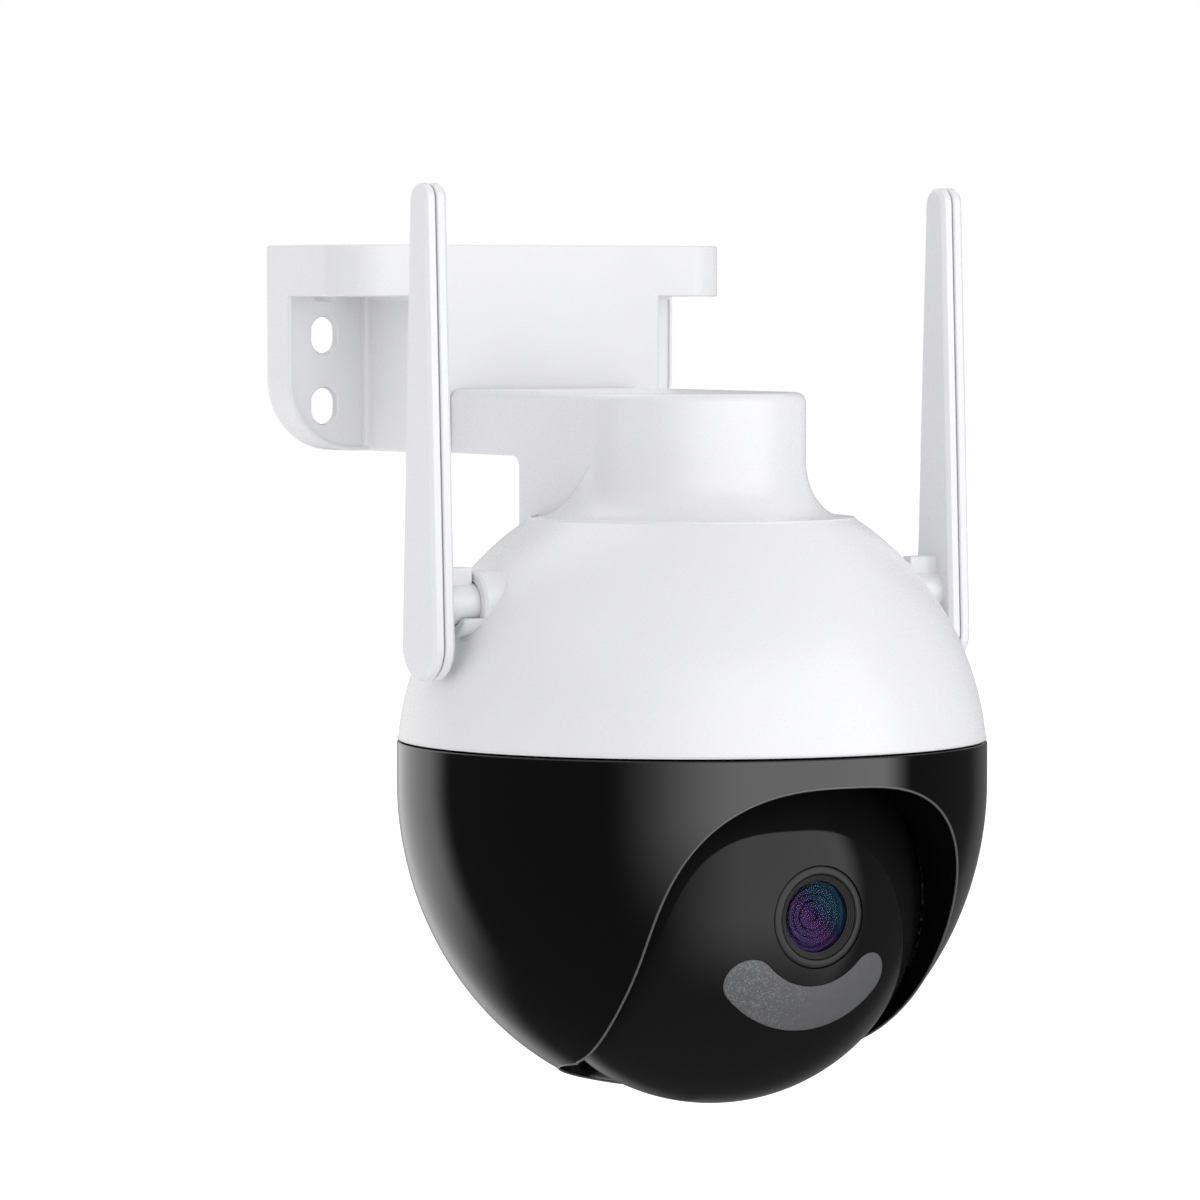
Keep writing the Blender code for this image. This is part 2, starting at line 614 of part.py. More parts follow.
def make_head_frame(mats, pan):
    z0, z1 = FRAME_TOP_Z
    x0, x1 = SIDE_PLATE_X
    y0, y1 = SIDE_PLATE_Y
    ring_r = HEAD_R - HEAD_WALL - 0.6
    ring = [(RING_BORE, RING_Z[0]), (ring_r, RING_Z[0]), (ring_r, RING_Z[1]), (RING_BORE, RING_Z[1])]
    tilt_y, tilt_z = EYE_CENTRE[1], EYE_CENTRE[2]
    adds = [disc(23.0, z0, z1, sides=MEDIUM), box(-x1, x1, y0, y1, z0 + 0.02, z1 - 0.02)]
    cuts = [disc(HUB_R[0], z0 - 1, HUB_TOP + 1, sides=20)]
    for side in (-1, 1):
        ends = sorted((side * x0, side * x1))
        plate = rounded(y0, y1, tilt_z - 8, z1 - 0.05, (4, 4, 0, 0), 3)
        adds.append(prism(plate, *ends, "X"))
        ends = sorted((side * (x0 - 1), side * (x1 + 1)))
        cuts.append(disc(5.6, *ends, "X", (tilt_y, tilt_z), 18))
    adds.append(disc(HUB_R[1], z1 - 0.5, HUB_TOP, sides=24))
    for index, angle in enumerate(HEAD_POST_ANGLES, 1):
        a = math.radians(angle)
        place = (HEAD_POST_R * math.cos(a), HEAD_POST_R * math.sin(a))
        cuts.append(disc(1.6, RING_Z[0] - 1, RING_Z[1] + 1, "Z", place, 10))
        screw(f"head_screw_{index}", mats["steel"], pan, RING_Z[1] + GAP, -8.0, "Z", place)
    piece("head_frame", lathe(ring), mats["frame"], pan, cuts, adds)
    for name, side in (("left", -1), ("right", 1)):
        bush = [(TRUNNION_R + GAP, x0 - 1.0), (7.2, x0 - 1.0), (7.2, x0 - GAP), (5.3, x0 - GAP)]
        bush += [(5.3, x1 + 0.4), (TRUNNION_R + GAP, x1 + 0.4)]
        bush = [(r, side * x) for r, x in bush]
        piece(f"tilt_bush_{name}", lathe(bush, 18, "X", (tilt_y, tilt_z)), mats["gear"], pan)


def make_tilt_drive(mats, pan):
    distance = MODULE * (TILT_GEAR_TEETH + PINION_TEETH) / 2
    a = math.radians(TILT_PINION_ANGLE)
    y = EYE_CENTRE[1] + distance * math.cos(a)
    z = EYE_CENTRE[2] + distance * math.sin(a)
    x0 = SIDE_PLATE_X[1] + GAP
    can = [(1.6, x0), (8.0, x0), (8.0, x0 + 4.4), (7.4, x0 + 5.0), (1.6, x0 + 5.0)]
    piece("tilt_motor", lathe(can, 24, "X", (y, z)), mats["can"], pan)
    pinion = prism(gear_outline(PINION_TEETH), TILT_GEAR_X[0] + 0.2, TILT_GEAR_X[1], "X")
    turned(pinion, TILT_PINION_ANGLE + 180 + 180 / PINION_TEETH, "X")
    shaft = disc(1.2, TILT_GEAR_X[1] - 1, x0 + 4.0, "X")
    piece("tilt_pinion", pinion, mats["gear"], pan, (), [shaft], (0, y, z))


def make_sound(mats, pan):
    cone = [(0.0, 38.0), (7.0, 38.0), (7.0, 40.0), (11.5, 41.0), (11.5, 43.0), (9.5, 43.0)]
    cone += [(3.5, 40.9), (0.0, 40.9)]
    piece("speaker", lathe(cone, 24, "Y", (0.0, SPEAKER_Z)), mats["card"], pan)
    button = [(0.0, 43.0), (1.6, 43.0), (1.6, 44.2), (1.1, 44.2), (1.1, 46.2), (0.0, 46.2)]
    piece("reset_button", lathe(button, 12, "Y"), mats["matte"], pan, place=RESET_PLACE)


# ---------- eyeball ----------
def make_eye_shells(mats, tilt):
    split = EYE_SPLIT
    posts = [(17.5, 30.0), (-17.5, 30.0)]
    big = EYE_R + 5
    for name, low, high in (("eye_front", split, big), ("eye_rear", -big, split + GAP)):
        cuts = [eye_hollow(), box(-big, big, low, high, -big, big)]
        for side in (-1, 1):
            ends = sorted((side * EYE_FLAT, side * big))
            cuts.append(box(*ends, -big, big, -big - 1, big + 1))
        obj = piece(name, ball(EYE_R), mats["black"], tilt, cuts)
        for place in posts:
            ends = (-2.0, split) if name == "eye_front" else (split + GAP, split + 4)
            shape(obj, disc(2.9, *ends, "Y", place, 10), "UNION")
            depth = 2 if name == "eye_front" else -1
            shape(obj, disc(1.5, ends[0] + depth, ends[1] + 1, "Y", place, 8), "DIFFERENCE")
            if name == "eye_rear":
                shape(obj, disc(3.0, split + 4, big, "Y", place, 10), "DIFFERENCE")
        if name == "eye_front":
            shape(obj, disc(LENS_RING_R + GAP, -big, -20, "Y", sides=28), "DIFFERENCE")
            shape(obj, prism(light_outline(GAP), -big, -20, "Y"), "DIFFERENCE")
            for side in (-1, 1):
                ends = sorted((side * 30, side * big))
                shape(obj, disc(4.9, *ends, "X", sides=16), "DIFFERENCE")
    for index, place in enumerate(posts, 1):
        screw(f"eye_screw_{index}", mats["steel"], tilt, split + 4 + GAP, 0.6, "Y", place, head_r=2.4)


def eye_hollow():
    """The eyeball's inside, flat at both sides."""
    inner = EYE_R - EYE_WALL
    flat = EYE_FLAT - EYE_WALL
    profile = [(0.0, -flat)]
    start = math.degrees(math.asin(flat / inner))
    profile += arc(0, 0, inner, -start, start, 9)
    profile.append((0.0, flat))
    return lathe(profile, 22, "X")


def make_trunnions(mats, tilt):
    for name, side in (("left", -1), ("right", 1)):
        shaft_end = SIDE_PLATE_X[1] + 0.9
        profile = [(0.0, 31.0), (4.6, 31.0), (4.6, EYE_FLAT + GAP), (7.6, EYE_FLAT + GAP)]
        profile += [(7.6, EYE_FLAT + 1.3), (TRUNNION_R, EYE_FLAT + 1.3), (TRUNNION_R, shaft_end)]
        profile.append((0.0, shaft_end))
        profile = [(r, side * x) for r, x in profile]
        piece(f"trunnion_{name}", lathe(profile, 16, "X"), mats["steel"], tilt)
    x0, x1 = TILT_GEAR_X
    gear = turned(prism(gear_outline(TILT_GEAR_TEETH), x0, x1, "X"), TILT_PINION_ANGLE - EYE_REST_TILT, "X")
    bore = disc(TRUNNION_R + GAP, x0 - 1, x1 + 1, "X", sides=18)
    piece("tilt_gear", gear, mats["gear"], tilt, [bore])


def make_lens(mats, tilt):
    """The lens unit on the eyeball's forward axis."""
    ring = [(8.0, -34.0), (LENS_RING_R, -34.0), (LENS_RING_R, -38.4), (LENS_RING_R - 0.4, -38.7)]
    ring.append((8.0, -38.5))
    piece("lens_ring", lathe(ring, 32, "Y"), mats["ring"], tilt)
    barrel = [(5.4, -18.0), (7.7, -18.0), (7.7, -38.2), (6.9, -37.8), (6.9, -34.3), (5.4, -34.3)]
    piece("lens_barrel", lathe(barrel, 32, "Y"), mats["matte"], tilt)
    glass_r, rim, bulge = 6.6, -37.4, 1.5
    glass = [(0.0, -34.6), (glass_r, -34.6), (glass_r, rim)]
    glass += [(glass_r * math.cos(a), rim - bulge * math.sin(a)) for a in (0.45, 0.9, 1.25)]
    glass.append((0.0, rim - bulge))
    piece("lens_glass", lathe(glass, 28, "Y"), mats["glass"], tilt)
    piece("lens_holder", prism(rounded(-9, 9, -9, 9, (2, 2, 2, 2), 3), -17.7, -9.0, "Y"), mats["matte"], tilt,
          [disc(5.0, -18.5, -11.0, "Y", sides=18)])
    piece("sensor_board", box(-15, 15, -8.7, -7.3, -12, 12), mats["board"], tilt)


def make_light(mats, tilt):
    """The lamp: a frosted crescent window, its board and its diodes."""
    inside = ball(EYE_R - 2.4, 16, 32)
    window = piece("light_diffuser", ball(EYE_R - 0.1, 16, 32), mats["diffuser"], tilt, [inside])
    shape(window, prism(light_outline(), -EYE_R - 5, -20, "Y"), "INTERSECT")
    middle = sum(LIGHT_R) / 2
    band = [*arc(0, 0, middle + 4.6, 222, 318, 10), *arc(0, 0, middle - 4.6, 318, 222, 8)]
    piece("light_board", prism(band, -28.4, -27.2, "Y"), mats["board"], tilt)
    for index, (x, z) in enumerate(arc(0, 0, middle, 234, 306, 3), 1):
        piece(f"led_{index}", prism(rounded(-1.7, 1.7, -1.7, 1.7, (0.4,) * 4, 1), -30.0, -28.7, "Y", (x, z)),
              mats["led"], tilt)


# ---------- antennas ----------
def blade_outline(inset=0.0):
    """The long tapered blade seen from the side, round at both ends, on (y, z) from the hinge."""
    low_r, top_r = BLADE_BOTTOM_R - inset, BLADE_TOP_R - inset
    low_z, top_z = BLADE_LOW + BLADE_BOTTOM_R, BLADE_HIGH - BLADE_TOP_R
    lean = math.degrees(math.asin((low_r - top_r) / (top_z - low_z)))
    return arc(0, low_z, low_r, 180 - lean, 360 + lean, 12) + arc(0, top_z, top_r, lean, 180 - lean, 8)


def make_antenna(mats, name, side, hinge):
    inner_x, outer_x = BLADE_X
    split = BLADE_SPLIT

    def along(low, high):
        return sorted((side * low, side * high))

    inner_half = prism(blade_outline(), *along(inner_x, split - GAP / 2), "X")
    pocket = prism(blade_outline(2.0), *along(split - 1.15, split + 1), "X")
    barrel = [(0.0, 35.2), (3.4, 35.2), (3.4, 36.8), (2.2, 36.8), (2.2, 38.3), (BARREL_R, 38.3)]
    barrel += [(BARREL_R, inner_x + 0.5), (0.0, inner_x + 0.5)]
    barrel = lathe([(r, side * x) for r, x in barrel], 20, "X")
    lug = box(*along(48.3, inner_x + 0.4), -1.5, 1.5, 2.5, 6.9)
    wire_bore = disc(1.1, *along(34.0, split + 0.5), "X", sides=8)
    piece(f"antenna_{name}_inner", inner_half, mats["white"], hinge, [pocket, wire_bore], [barrel, lug])
    outer_half = prism(blade_outline(), *along(split + GAP / 2, outer_x), "X")
    outer_pocket = prism(blade_outline(2.0), *along(split - 1, split + 1.15), "X")
    piece(f"antenna_{name}_outer", outer_half, mats["white"], hinge, [outer_pocket])
    strip = rounded(-0.7, 0.7, -6.0, 70.0, (0.3,) * 4, 1)
    element = prism(strip, *along(split - 0.8, split + 0.8), "X")
    piece(f"antenna_{name}_element", element, mats["copper"], hinge)
    clip = [(2.5, side * 37.0), (4.6, side * 37.0), (4.6, side * 38.0), (2.5, side * 38.0)]
    piece(f"antenna_{name}_clip", lathe(clip, 18, "X"), mats["steel"], hinge)


def main():
    for old in list(bpy.data.objects):
        bpy.data.objects.remove(old)
    mats = make_materials()
    dome = axis_empty("dome_centre", DOME_CENTRE)
    pan = axis_empty("pan_axis", DOME_CENTRE)
    tilt = axis_empty("tilt_axis", EYE_CENTRE, pan, EYE_REST_TILT)
    make_bracket(mats)
    make_grommet(mats)
    make_arm(mats, dome)
    make_fixings(mats, dome)
    make_dome_shell(mats, dome)
    make_pan_drive(mats, dome, pan)
    make_electronics(mats, dome)
    make_yoke(mats, pan)
    make_service_port(mats, pan)
    make_head_frame(mats, pan)
    make_tilt_drive(mats, pan)
    make_sound(mats, pan)
    make_eye_shells(mats, tilt)
    make_trunnions(mats, tilt)
    make_lens(mats, tilt)
    make_light(mats, tilt)
    for name, side in (("left", -1), ("right", 1)):
        hinge = axis_empty(f"antenna_{name}_axis", (0, 0, HINGE_Z), dome)
        make_antenna(mats, name, side, hinge)


main()
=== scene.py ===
# Security camera: high-resolution shells, optics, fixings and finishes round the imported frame.
import json
import math

import bmesh
import bpy
from mathutils import Matrix, Vector


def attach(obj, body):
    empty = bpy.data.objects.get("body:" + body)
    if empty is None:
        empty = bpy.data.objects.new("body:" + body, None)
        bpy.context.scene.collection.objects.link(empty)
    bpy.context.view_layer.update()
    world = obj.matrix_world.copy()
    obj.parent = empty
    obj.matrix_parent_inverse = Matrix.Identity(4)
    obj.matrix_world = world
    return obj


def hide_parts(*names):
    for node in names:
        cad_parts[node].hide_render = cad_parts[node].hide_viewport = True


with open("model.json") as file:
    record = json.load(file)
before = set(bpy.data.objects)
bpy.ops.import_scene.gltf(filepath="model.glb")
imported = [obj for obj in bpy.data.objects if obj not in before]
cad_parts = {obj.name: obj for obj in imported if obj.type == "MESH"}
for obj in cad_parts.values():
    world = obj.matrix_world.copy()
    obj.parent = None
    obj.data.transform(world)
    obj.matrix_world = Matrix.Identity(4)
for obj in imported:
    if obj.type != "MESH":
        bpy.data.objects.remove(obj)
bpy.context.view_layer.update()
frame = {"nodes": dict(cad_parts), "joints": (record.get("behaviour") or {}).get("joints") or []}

mm = 0.001
tiny = 1e-6


def jointPivot(name):
    joint = next(j for j in frame["joints"] if j["name"] == name)
    return Vector(joint["pos_m"])


domeCentre = jointPivot("pan")
eyeCentre = jointPivot("tilt")
hingeHeight = (jointPivot("antenna_left_hinge").z - domeCentre.z) / mm
wallFace = Vector((0, 0, 0))


# outlines, all in millimetres
def spotsRound(radius, angles):
    return [(radius * math.cos(math.radians(a)), radius * math.sin(math.radians(a))) for a in angles]


def arc(cx, cy, radius, start, end, steps):
    points = []
    for i in range(steps + 1):
        a = math.radians(start + (end - start) * i / steps)
        points.append((cx + radius * math.cos(a), cy + radius * math.sin(a)))
    return points


# corner radii run low-left, low-right, high-right, high-left
def rounded(x0, x1, y0, y1, radii, inset=0.0, steps=10):
    x0, x1, y0, y1 = x0 + inset, x1 - inset, y0 + inset, y1 - inset
    corners = ((x0, y0, 1, 1, 180), (x1, y0, -1, 1, 270), (x1, y1, -1, -1, 0), (x0, y1, 1, -1, 90))
    points = []
    for (x, y, sx, sy, start), radius in zip(corners, radii):
        if radius > 0:
            r = max(radius - inset, 0.02)
            points += arc(x + sx * r, y + sy * r, r, start, start + 90, steps)
        else:
            points.append((x, y))
    return points


# heights and insets that round the two ends of a prism
def softLevels(low, high, lowEdge, highEdge, steps=4):
    levels = []
    for i in range(steps + 1):
        a = math.pi / 2 * i / steps
        levels.append((low + lowEdge * (1 - math.cos(a)), lowEdge * (1 - math.sin(a))))
        if lowEdge < tiny:
            break
    for i in range(steps + 1):
        a = math.pi / 2 * i / steps
        levels.append((high - highEdge * (1 - math.sin(a)), highEdge * (1 - math.cos(a))))
        if highEdge < tiny:
            levels[-1] = (high, 0.0)
            break
    return levels


# rounds every corner of an open half outline that turns, for turned pieces
def softCorner(points, radius, steps=4):
    done = [points[0]]
    for before, corner, after in zip(points, points[1:], points[2:]):
        a, b, c = Vector(before), Vector(corner), Vector(after)
        u, v = (a - b), (c - b)
        reach = min(radius, u.length * 0.45, v.length * 0.45)
        if reach < tiny or abs(u.normalized().cross(v.normalized())) < 0.05:
            done.append(corner)
            continue
        p, q = b + u.normalized() * reach, b + v.normalized() * reach
        for i in range(steps + 1):
            t = i / steps
            point = p * (1 - t) ** 2 + b * 2 * t * (1 - t) + q * t ** 2
            done.append(tuple(point))
    done.append(points[-1])
    return done


# solids
axisOrder = {"X": (1, 2, 0), "Y": (0, 2, 1), "Z": (0, 1, 2)}


def loft(rings):
    bm = bmesh.new()
    loops = [[bm.verts.new(co) for co in ring] for ring in rings]
    bm.faces.new(loops[0])
    bm.faces.new(loops[-1])
    for ring, other in zip(loops, loops[1:]):
        for i in range(len(ring)):
            j = (i + 1) % len(ring)
            bm.faces.new((ring[i], ring[j], other[j], other[i]))
    return bm


# a prism with shaped ends: outline(inset) gives its points at each level
def stack(outline, levels, axis="Z", centre=(0.0, 0.0)):
    first, second, along = axisOrder[axis]
    rings = []
    for height, inset in levels:
        ring = []
        for a, b in outline(inset):
            co = [0.0, 0.0, 0.0]
            co[first], co[second], co[along] = a + centre[0], b + centre[1], height
            ring.append(co)
        rings.append(ring)
    return loft(rings)


def prism(points, low, high, axis="Z", centre=(0.0, 0.0)):
    return stack(lambda inset: points, [(low, 0), (high, 0)], axis, centre)


def block(x0, x1, y0, y1, z0, z1):
    return prism([(x0, y0), (x1, y0), (x1, y1), (x0, y1)], z0, z1)


def disc(radius, low, high, axis="Z", centre=(0.0, 0.0), sides=48):
    return prism(arc(0, 0, radius, 3, 363, sides)[:-1], low, high, axis, centre)


def lathe(profile, sides=96, axis="Z", centre=(0.0, 0.0)):
    first, second, along = axisOrder[axis]
    bm = bmesh.new()
    rings = []
    for radius, height in profile:
        ring = []
        for i in range(sides if radius > tiny else 1):
            a = 2 * math.pi * i / sides
            co = [0.0, 0.0, 0.0]
            co[first] = centre[0] + radius * math.cos(a)
            co[second] = centre[1] + radius * math.sin(a)
            co[along] = height
            ring.append(bm.verts.new(co))
        rings.append(ring)
    for ring, other in zip(rings, rings[1:] + rings[:1]):
        for i in range(sides):
            j = (i + 1) % sides
            face = []
            for loop, k in ((ring, i), (ring, j), (other, j), (other, i)):
                vert = loop[k % len(loop)]
                if vert not in face:
                    face.append(vert)
            if len(face) > 2:
                bm.faces.new(face)
    return bm


# a thin closed rod along a run of points
def openTube(points, radius, sides=8):
    rings = []
    for i, point in enumerate(points):
        along = (points[min(i + 1, len(points) - 1)] - points[max(i - 1, 0)]).normalized()
        first = along.cross(Vector((1, 0, 0))).normalized()
        second = along.cross(first)
        angles = [2 * math.pi * k / sides for k in range(sides)]
        rings.append([point + (first * math.cos(a) + second * math.sin(a)) * radius for a in angles])
    return loft(rings)


def newPiece(name, bm):
    bmesh.ops.recalc_face_normals(bm, faces=bm.faces)
    bmesh.ops.scale(bm, verts=bm.verts, vec=(mm, mm, mm))
    mesh = bpy.data.meshes.new(name)
    bm.to_mesh(mesh)
    bm.free()
    obj = bpy.data.objects.new(name, mesh)
    bpy.context.scene.collection.objects.link(obj)
    return obj


# turns the evaluated object into its own plain mesh
def makePlain(obj):
    graph = bpy.context.evaluated_depsgraph_get()
    mesh = bpy.data.meshes.new_from_object(obj.evaluated_get(graph))
    obj.modifiers.clear()
    obj.data = mesh
    mesh.name = obj.name


# each step is an operation and the solids it uses
def carve(obj, *steps):
    tools = []
    for operation, solids in steps:
        for solid in solids:
            tool = newPiece("tool", solid) if isinstance(solid, bmesh.types.BMesh) else solid
            tools.append(tool)
            change = obj.modifiers.new(operation.lower(), "BOOLEAN")
            change.operation = operation
            change.solver = "EXACT"
            change.object = tool
    makePlain(obj)
    for tool in tools:
        bpy.data.objects.remove(tool)


def sphereNormal(radius):
    def rule(p):
        return p.normalized() if abs(p.length - radius) < 0.03 else None
    return rule


def headNormal(look):
    axes = (look["radius"], look["radius"], look["depth"])

    def rule(p):
        if p.z >= look["straightZ"]:
            flat = Vector((p.x, p.y, 0))
            return flat.normalized() if abs(flat.length - look["radius"]) < 0.03 else None
        offset = p - Vector((0, 0, look["straightZ"]))
        scaled = Vector([c / a for c, a in zip(offset, axes)])
        if abs(scaled.length - 1) > 0.001:
            return None
        return Vector([c / a for c, a in zip(scaled, axes)]).normalized()
    return rule


# smooth shading with true normals on the analytic surface, then the piece goes to its place
def settle(obj, matrix, rule=None, angle=30):
    obj.data.shade_smooth()
    obj.data.set_sharp_from_angle(angle=math.radians(angle))
    flats = obj.modifiers.new("flats", "WEIGHTED_NORMAL")
    flats.keep_sharp = True
    makePlain(obj)
    mesh = obj.data
    normals = [Vector(n.vector) for n in mesh.corner_normals]
    if rule:
        for face in mesh.polygons:
            for loop in face.loop_indices:
                true = rule(mesh.vertices[mesh.loops[loop].vertex_index].co / mm)
                if true and true.dot(face.normal) > 0.94:
                    normals[loop] = true
    turn = matrix.to_3x3()
    mesh.transform(matrix)
    mesh.normals_split_custom_set([turn @ n for n in normals])
    mesh.update()


def place(offset, tilt=0.0):
    return Matrix.Translation(offset) @ Matrix.Rotation(math.radians(tilt), 4, "X")


# the piece's finish and body, and the nodes it stands for; its slot argument is not used
def dress(obj, material, slot, body, *replaced):
    obj.data.materials.clear()
    obj.data.materials.append(material)
    for face in obj.data.polygons:
        face.material_index = 0
    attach(obj, body)
    if replaced:
        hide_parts(*replaced)


atDome = place(domeCentre)
atWall = place(wallFace)


# materials
def link(tree, source, target):
    tree.links.new(source, target)


# sets sockets to fixed values, or links them to another node's output
def put(tree, node, sockets):
    for label, value in sockets.items():
        if isinstance(value, bpy.types.NodeSocket):
            link(tree, value, node.inputs[label])
        else:
            node.inputs[label].default_value = value
    return node


def addNode(tree, kind, sockets=None, **settings):
    node = tree.nodes.new(kind)
    for name, value in settings.items():
        setattr(node, name, value)
    return put(tree, node, sockets or {})


def maths(tree, operation, *values):
    return addNode(tree, "ShaderNodeMath", dict(enumerate(values)), operation=operation).outputs[0]


def noise(tree, where, scale, detail=2.0):
    sockets = {"Scale": scale, "Detail": detail, "Vector": where}
    return addNode(tree, "ShaderNodeTexNoise", sockets).outputs["Fac"]


# takes a value from one span to another
def remap(tree, value, source, target=(0.0, 1.0), curve="LINEAR"):
    sockets = {"Value": value, "From Min": source[0], "From Max": source[1], "To Min": target[0],
               "To Max": target[1]}
    return addNode(tree, "ShaderNodeMapRange", sockets, interpolation_type=curve).outputs["Result"]


# takes a texture's middle range to low .. high
def spread(tree, factor, low, high):
    return remap(tree, factor, (0.3, 0.7), (low, high))


def newMaterial(name):
    material = bpy.data.materials.new(name)
    material.use_nodes = True
    tree = material.node_tree
    where = tree.nodes.new("ShaderNodeTexCoord").outputs["Object"]
    return material, tree, tree.nodes["Principled BSDF"], where


def splitParts(tree, vector):
    return addNode(tree, "ShaderNodeSeparateXYZ", {0: vector}).outputs


def addBump(tree, shader, height, strength, depth):
    bump = addNode(tree, "ShaderNodeBump", {"Strength": strength, "Distance": depth, "Height": height})
    link(tree, bump.outputs["Normal"], shader.inputs["Normal"])


def mixColour(tree, factor, first, second):
    node = addNode(tree, "ShaderNodeMix", data_type="RGBA")
    link(tree, factor, node.inputs["Factor"])
    for socket, colour in ((node.inputs[6], first), (node.inputs[7], second)):
        if isinstance(colour, tuple):
            socket.default_value = (*colour, 1.0)
        else:
            link(tree, colour, socket)
    return node.outputs[2]


# a moulded, machined or coated finish from its dictionary
def finishMaterial(name, look):
    material, tree, shader, where = newMaterial(name)
    soft = spread(tree, noise(tree, where, look.get("mottleScale", 60.0), 3.0), 0.0, 1.0)
    dark = tuple(c * look.get("mottle", 0.96) for c in look["colour"])
    grain = noise(tree, where, look.get("grainScale", 3500.0), 1.0)
    put(tree, shader, {"Base Color": mixColour(tree, soft, dark, look["colour"]),
                       "Roughness": spread(tree, grain, *look["roughness"]), "IOR": 1.5,
                       "Metallic": look.get("metallic", 0.0),
                       "Specular IOR Level": look.get("specular", 0.5)})
    if look.get("bump"):
        addBump(tree, shader, grain, look["bump"], 0.00002)
    return material


finishes = {
    "whiteShell": {"colour": (0.705, 0.707, 0.72), "roughness": (0.26, 0.34), "mottle": 0.99, "bump": 0.1},
    "glossBlack": {"colour": (0.0025, 0.0025, 0.0026), "roughness": (0.035, 0.06), "grainScale": 900.0},
    "ballBlack": {"colour": (0.0075, 0.0075, 0.0078), "roughness": (0.05, 0.09), "grainScale": 900.0,
                  "specular": 0.18},
    # a lighter grey copy of the gloss black: a painted highlight for the bead along the opening's edge
    "rimPaintedHighlight": {"colour": (0.09, 0.09, 0.09), "roughness": (0.25, 0.35)},
    # matte black: the real colour of the lens holder and reset button, and painted shade on the tilt bushes
    # and trunnions
    "matteBlackAndGapShade": {"colour": (0.018, 0.018, 0.019), "roughness": (0.45, 0.6), "bump": 0.3},
    "frameGrey": {"colour": (0.22, 0.22, 0.23), "roughness": (0.5, 0.6), "bump": 0.4},
    "acetal": {"colour": (0.78, 0.77, 0.72), "roughness": (0.32, 0.42), "bump": 0.1},
    "rubber": {"colour": (0.028, 0.028, 0.029), "roughness": (0.7, 0.85), "bump": 0.5},
    "screwSteel": {"colour": (0.58, 0.58, 0.59), "roughness": (0.22, 0.36), "metallic": 1.0, "bump": 0.1},
    "motorCan": {"colour": (0.66, 0.66, 0.67), "roughness": (0.28, 0.42), "metallic": 1.0, "bump": 0.15},
    "board": {"colour": (0.018, 0.15, 0.065), "roughness": (0.35, 0.5), "mottle": 0.8, "mottleScale": 900.0},
    "bezel": {"colour": (0.02, 0.02, 0.021), "roughness": (0.32, 0.4), "bump": 0.15, "specular": 0.2},
    "lensBlack": {"colour": (0.006, 0.006, 0.006), "roughness": (0.4, 0.5), "bump": 0.2, "specular": 0.2},
    "led": {"colour": (0.85, 0.74, 0.28), "roughness": (0.3, 0.45), "mottle": 0.8},
    "copper": {"colour": (0.72, 0.36, 0.2), "roughness": (0.28, 0.42), "metallic": 1.0, "mottle": 0.85},
    "paperCone": {"colour": (0.06, 0.06, 0.06), "roughness": (0.65, 0.8), "bump": 0.8, "grainScale": 1800.0},
}
paint = {name: finishMaterial(name, look) for name, look in finishes.items()}


# frosted window with painted glints: fine light specks in its colour that thin out towards its right end
def lampMaterial():
    look = {"colour": (0.084, 0.085, 0.088), "paintedGlint": (0.19, 0.195, 0.2), "roughness": 0.42,
            "glintScale": 6200.0, "glintFadeSpan": (-0.018, 0.002), "glintShare": (0.84, 1.0)}
    material, tree, shader, where = newMaterial("frostedLamp")
    cells = addNode(tree, "ShaderNodeTexVoronoi", {"Scale": look["glintScale"], "Vector": where})
    spots = addNode(tree, "ShaderNodeSeparateColor", {"Color": cells.outputs["Color"]})
    fade = remap(tree, splitParts(tree, where)["X"], look["glintFadeSpan"], look["glintShare"])
    # the cells picked here are painted glints, fewer towards the right end
    glintSpots = maths(tree, "GREATER_THAN", spots.outputs["Red"], fade)
    soft = spread(tree, noise(tree, where, 700.0), 0.0, 1.0)
    base = mixColour(tree, soft, tuple(c * 0.9 for c in look["colour"]), look["colour"])
    addBump(tree, shader, spots.outputs["Green"], 0.35, 0.00003)
    put(tree, shader, {"Base Color": mixColour(tree, glintSpots, base, look["paintedGlint"]),
                       "Roughness": look["roughness"]})
    return material


# clear front element with a faint tint
def glassMaterial():
    material, tree, shader, where = newMaterial("coatedGlass")
    smear = spread(tree, noise(tree, where, 300.0), 0.0, 1.0)
    put(tree, shader, {"Base Color": mixColour(tree, smear, (0.9, 0.88, 1.0), (0.96, 0.96, 1.0)),
                       "Roughness": 0.0, "Transmission Weight": 1.0, "IOR": 1.1})
    return material


# inner element: a dark coated tint with a painted coating reflection that runs from violet low on the left
# to cyan high on the right
def coatTintAndPaintedReflectionMaterial(axisPoint):
    look = {"stops": ((0.0, (0.035, 0.025, 0.08)), (0.4, (0.05, 0.018, 0.07)), (0.62, (0.013, 0.016, 0.05)),
                      (0.85, (0.008, 0.034, 0.048))), "reach": 0.0065}
    material, tree, shader, where = newMaterial("coatTintAndPaintedReflection")
    sockets = {"Location": [-c for c in axisPoint], "Vector": where}
    moved = addNode(tree, "ShaderNodeMapping", sockets, vector_type="POINT")
    parts = splitParts(tree, moved.outputs["Vector"])
    lean = maths(tree, "ADD", parts["X"], parts["Z"])
    ramp = tree.nodes.new("ShaderNodeValToRGB")
    for spot, (position, colour) in enumerate(look["stops"]):
        stop = ramp.color_ramp.elements[spot] if spot < 2 else ramp.color_ramp.elements.new(position)
        stop.position = position
        stop.color = (*colour, 1.0)
    link(tree, remap(tree, lean, (-look["reach"], look["reach"])), ramp.inputs["Fac"])
    put(tree, shader, {"Base Color": ramp.outputs["Color"], "Metallic": 0.3, "Specular IOR Level": 0.03,
                       "Roughness": 0.18})
    return material


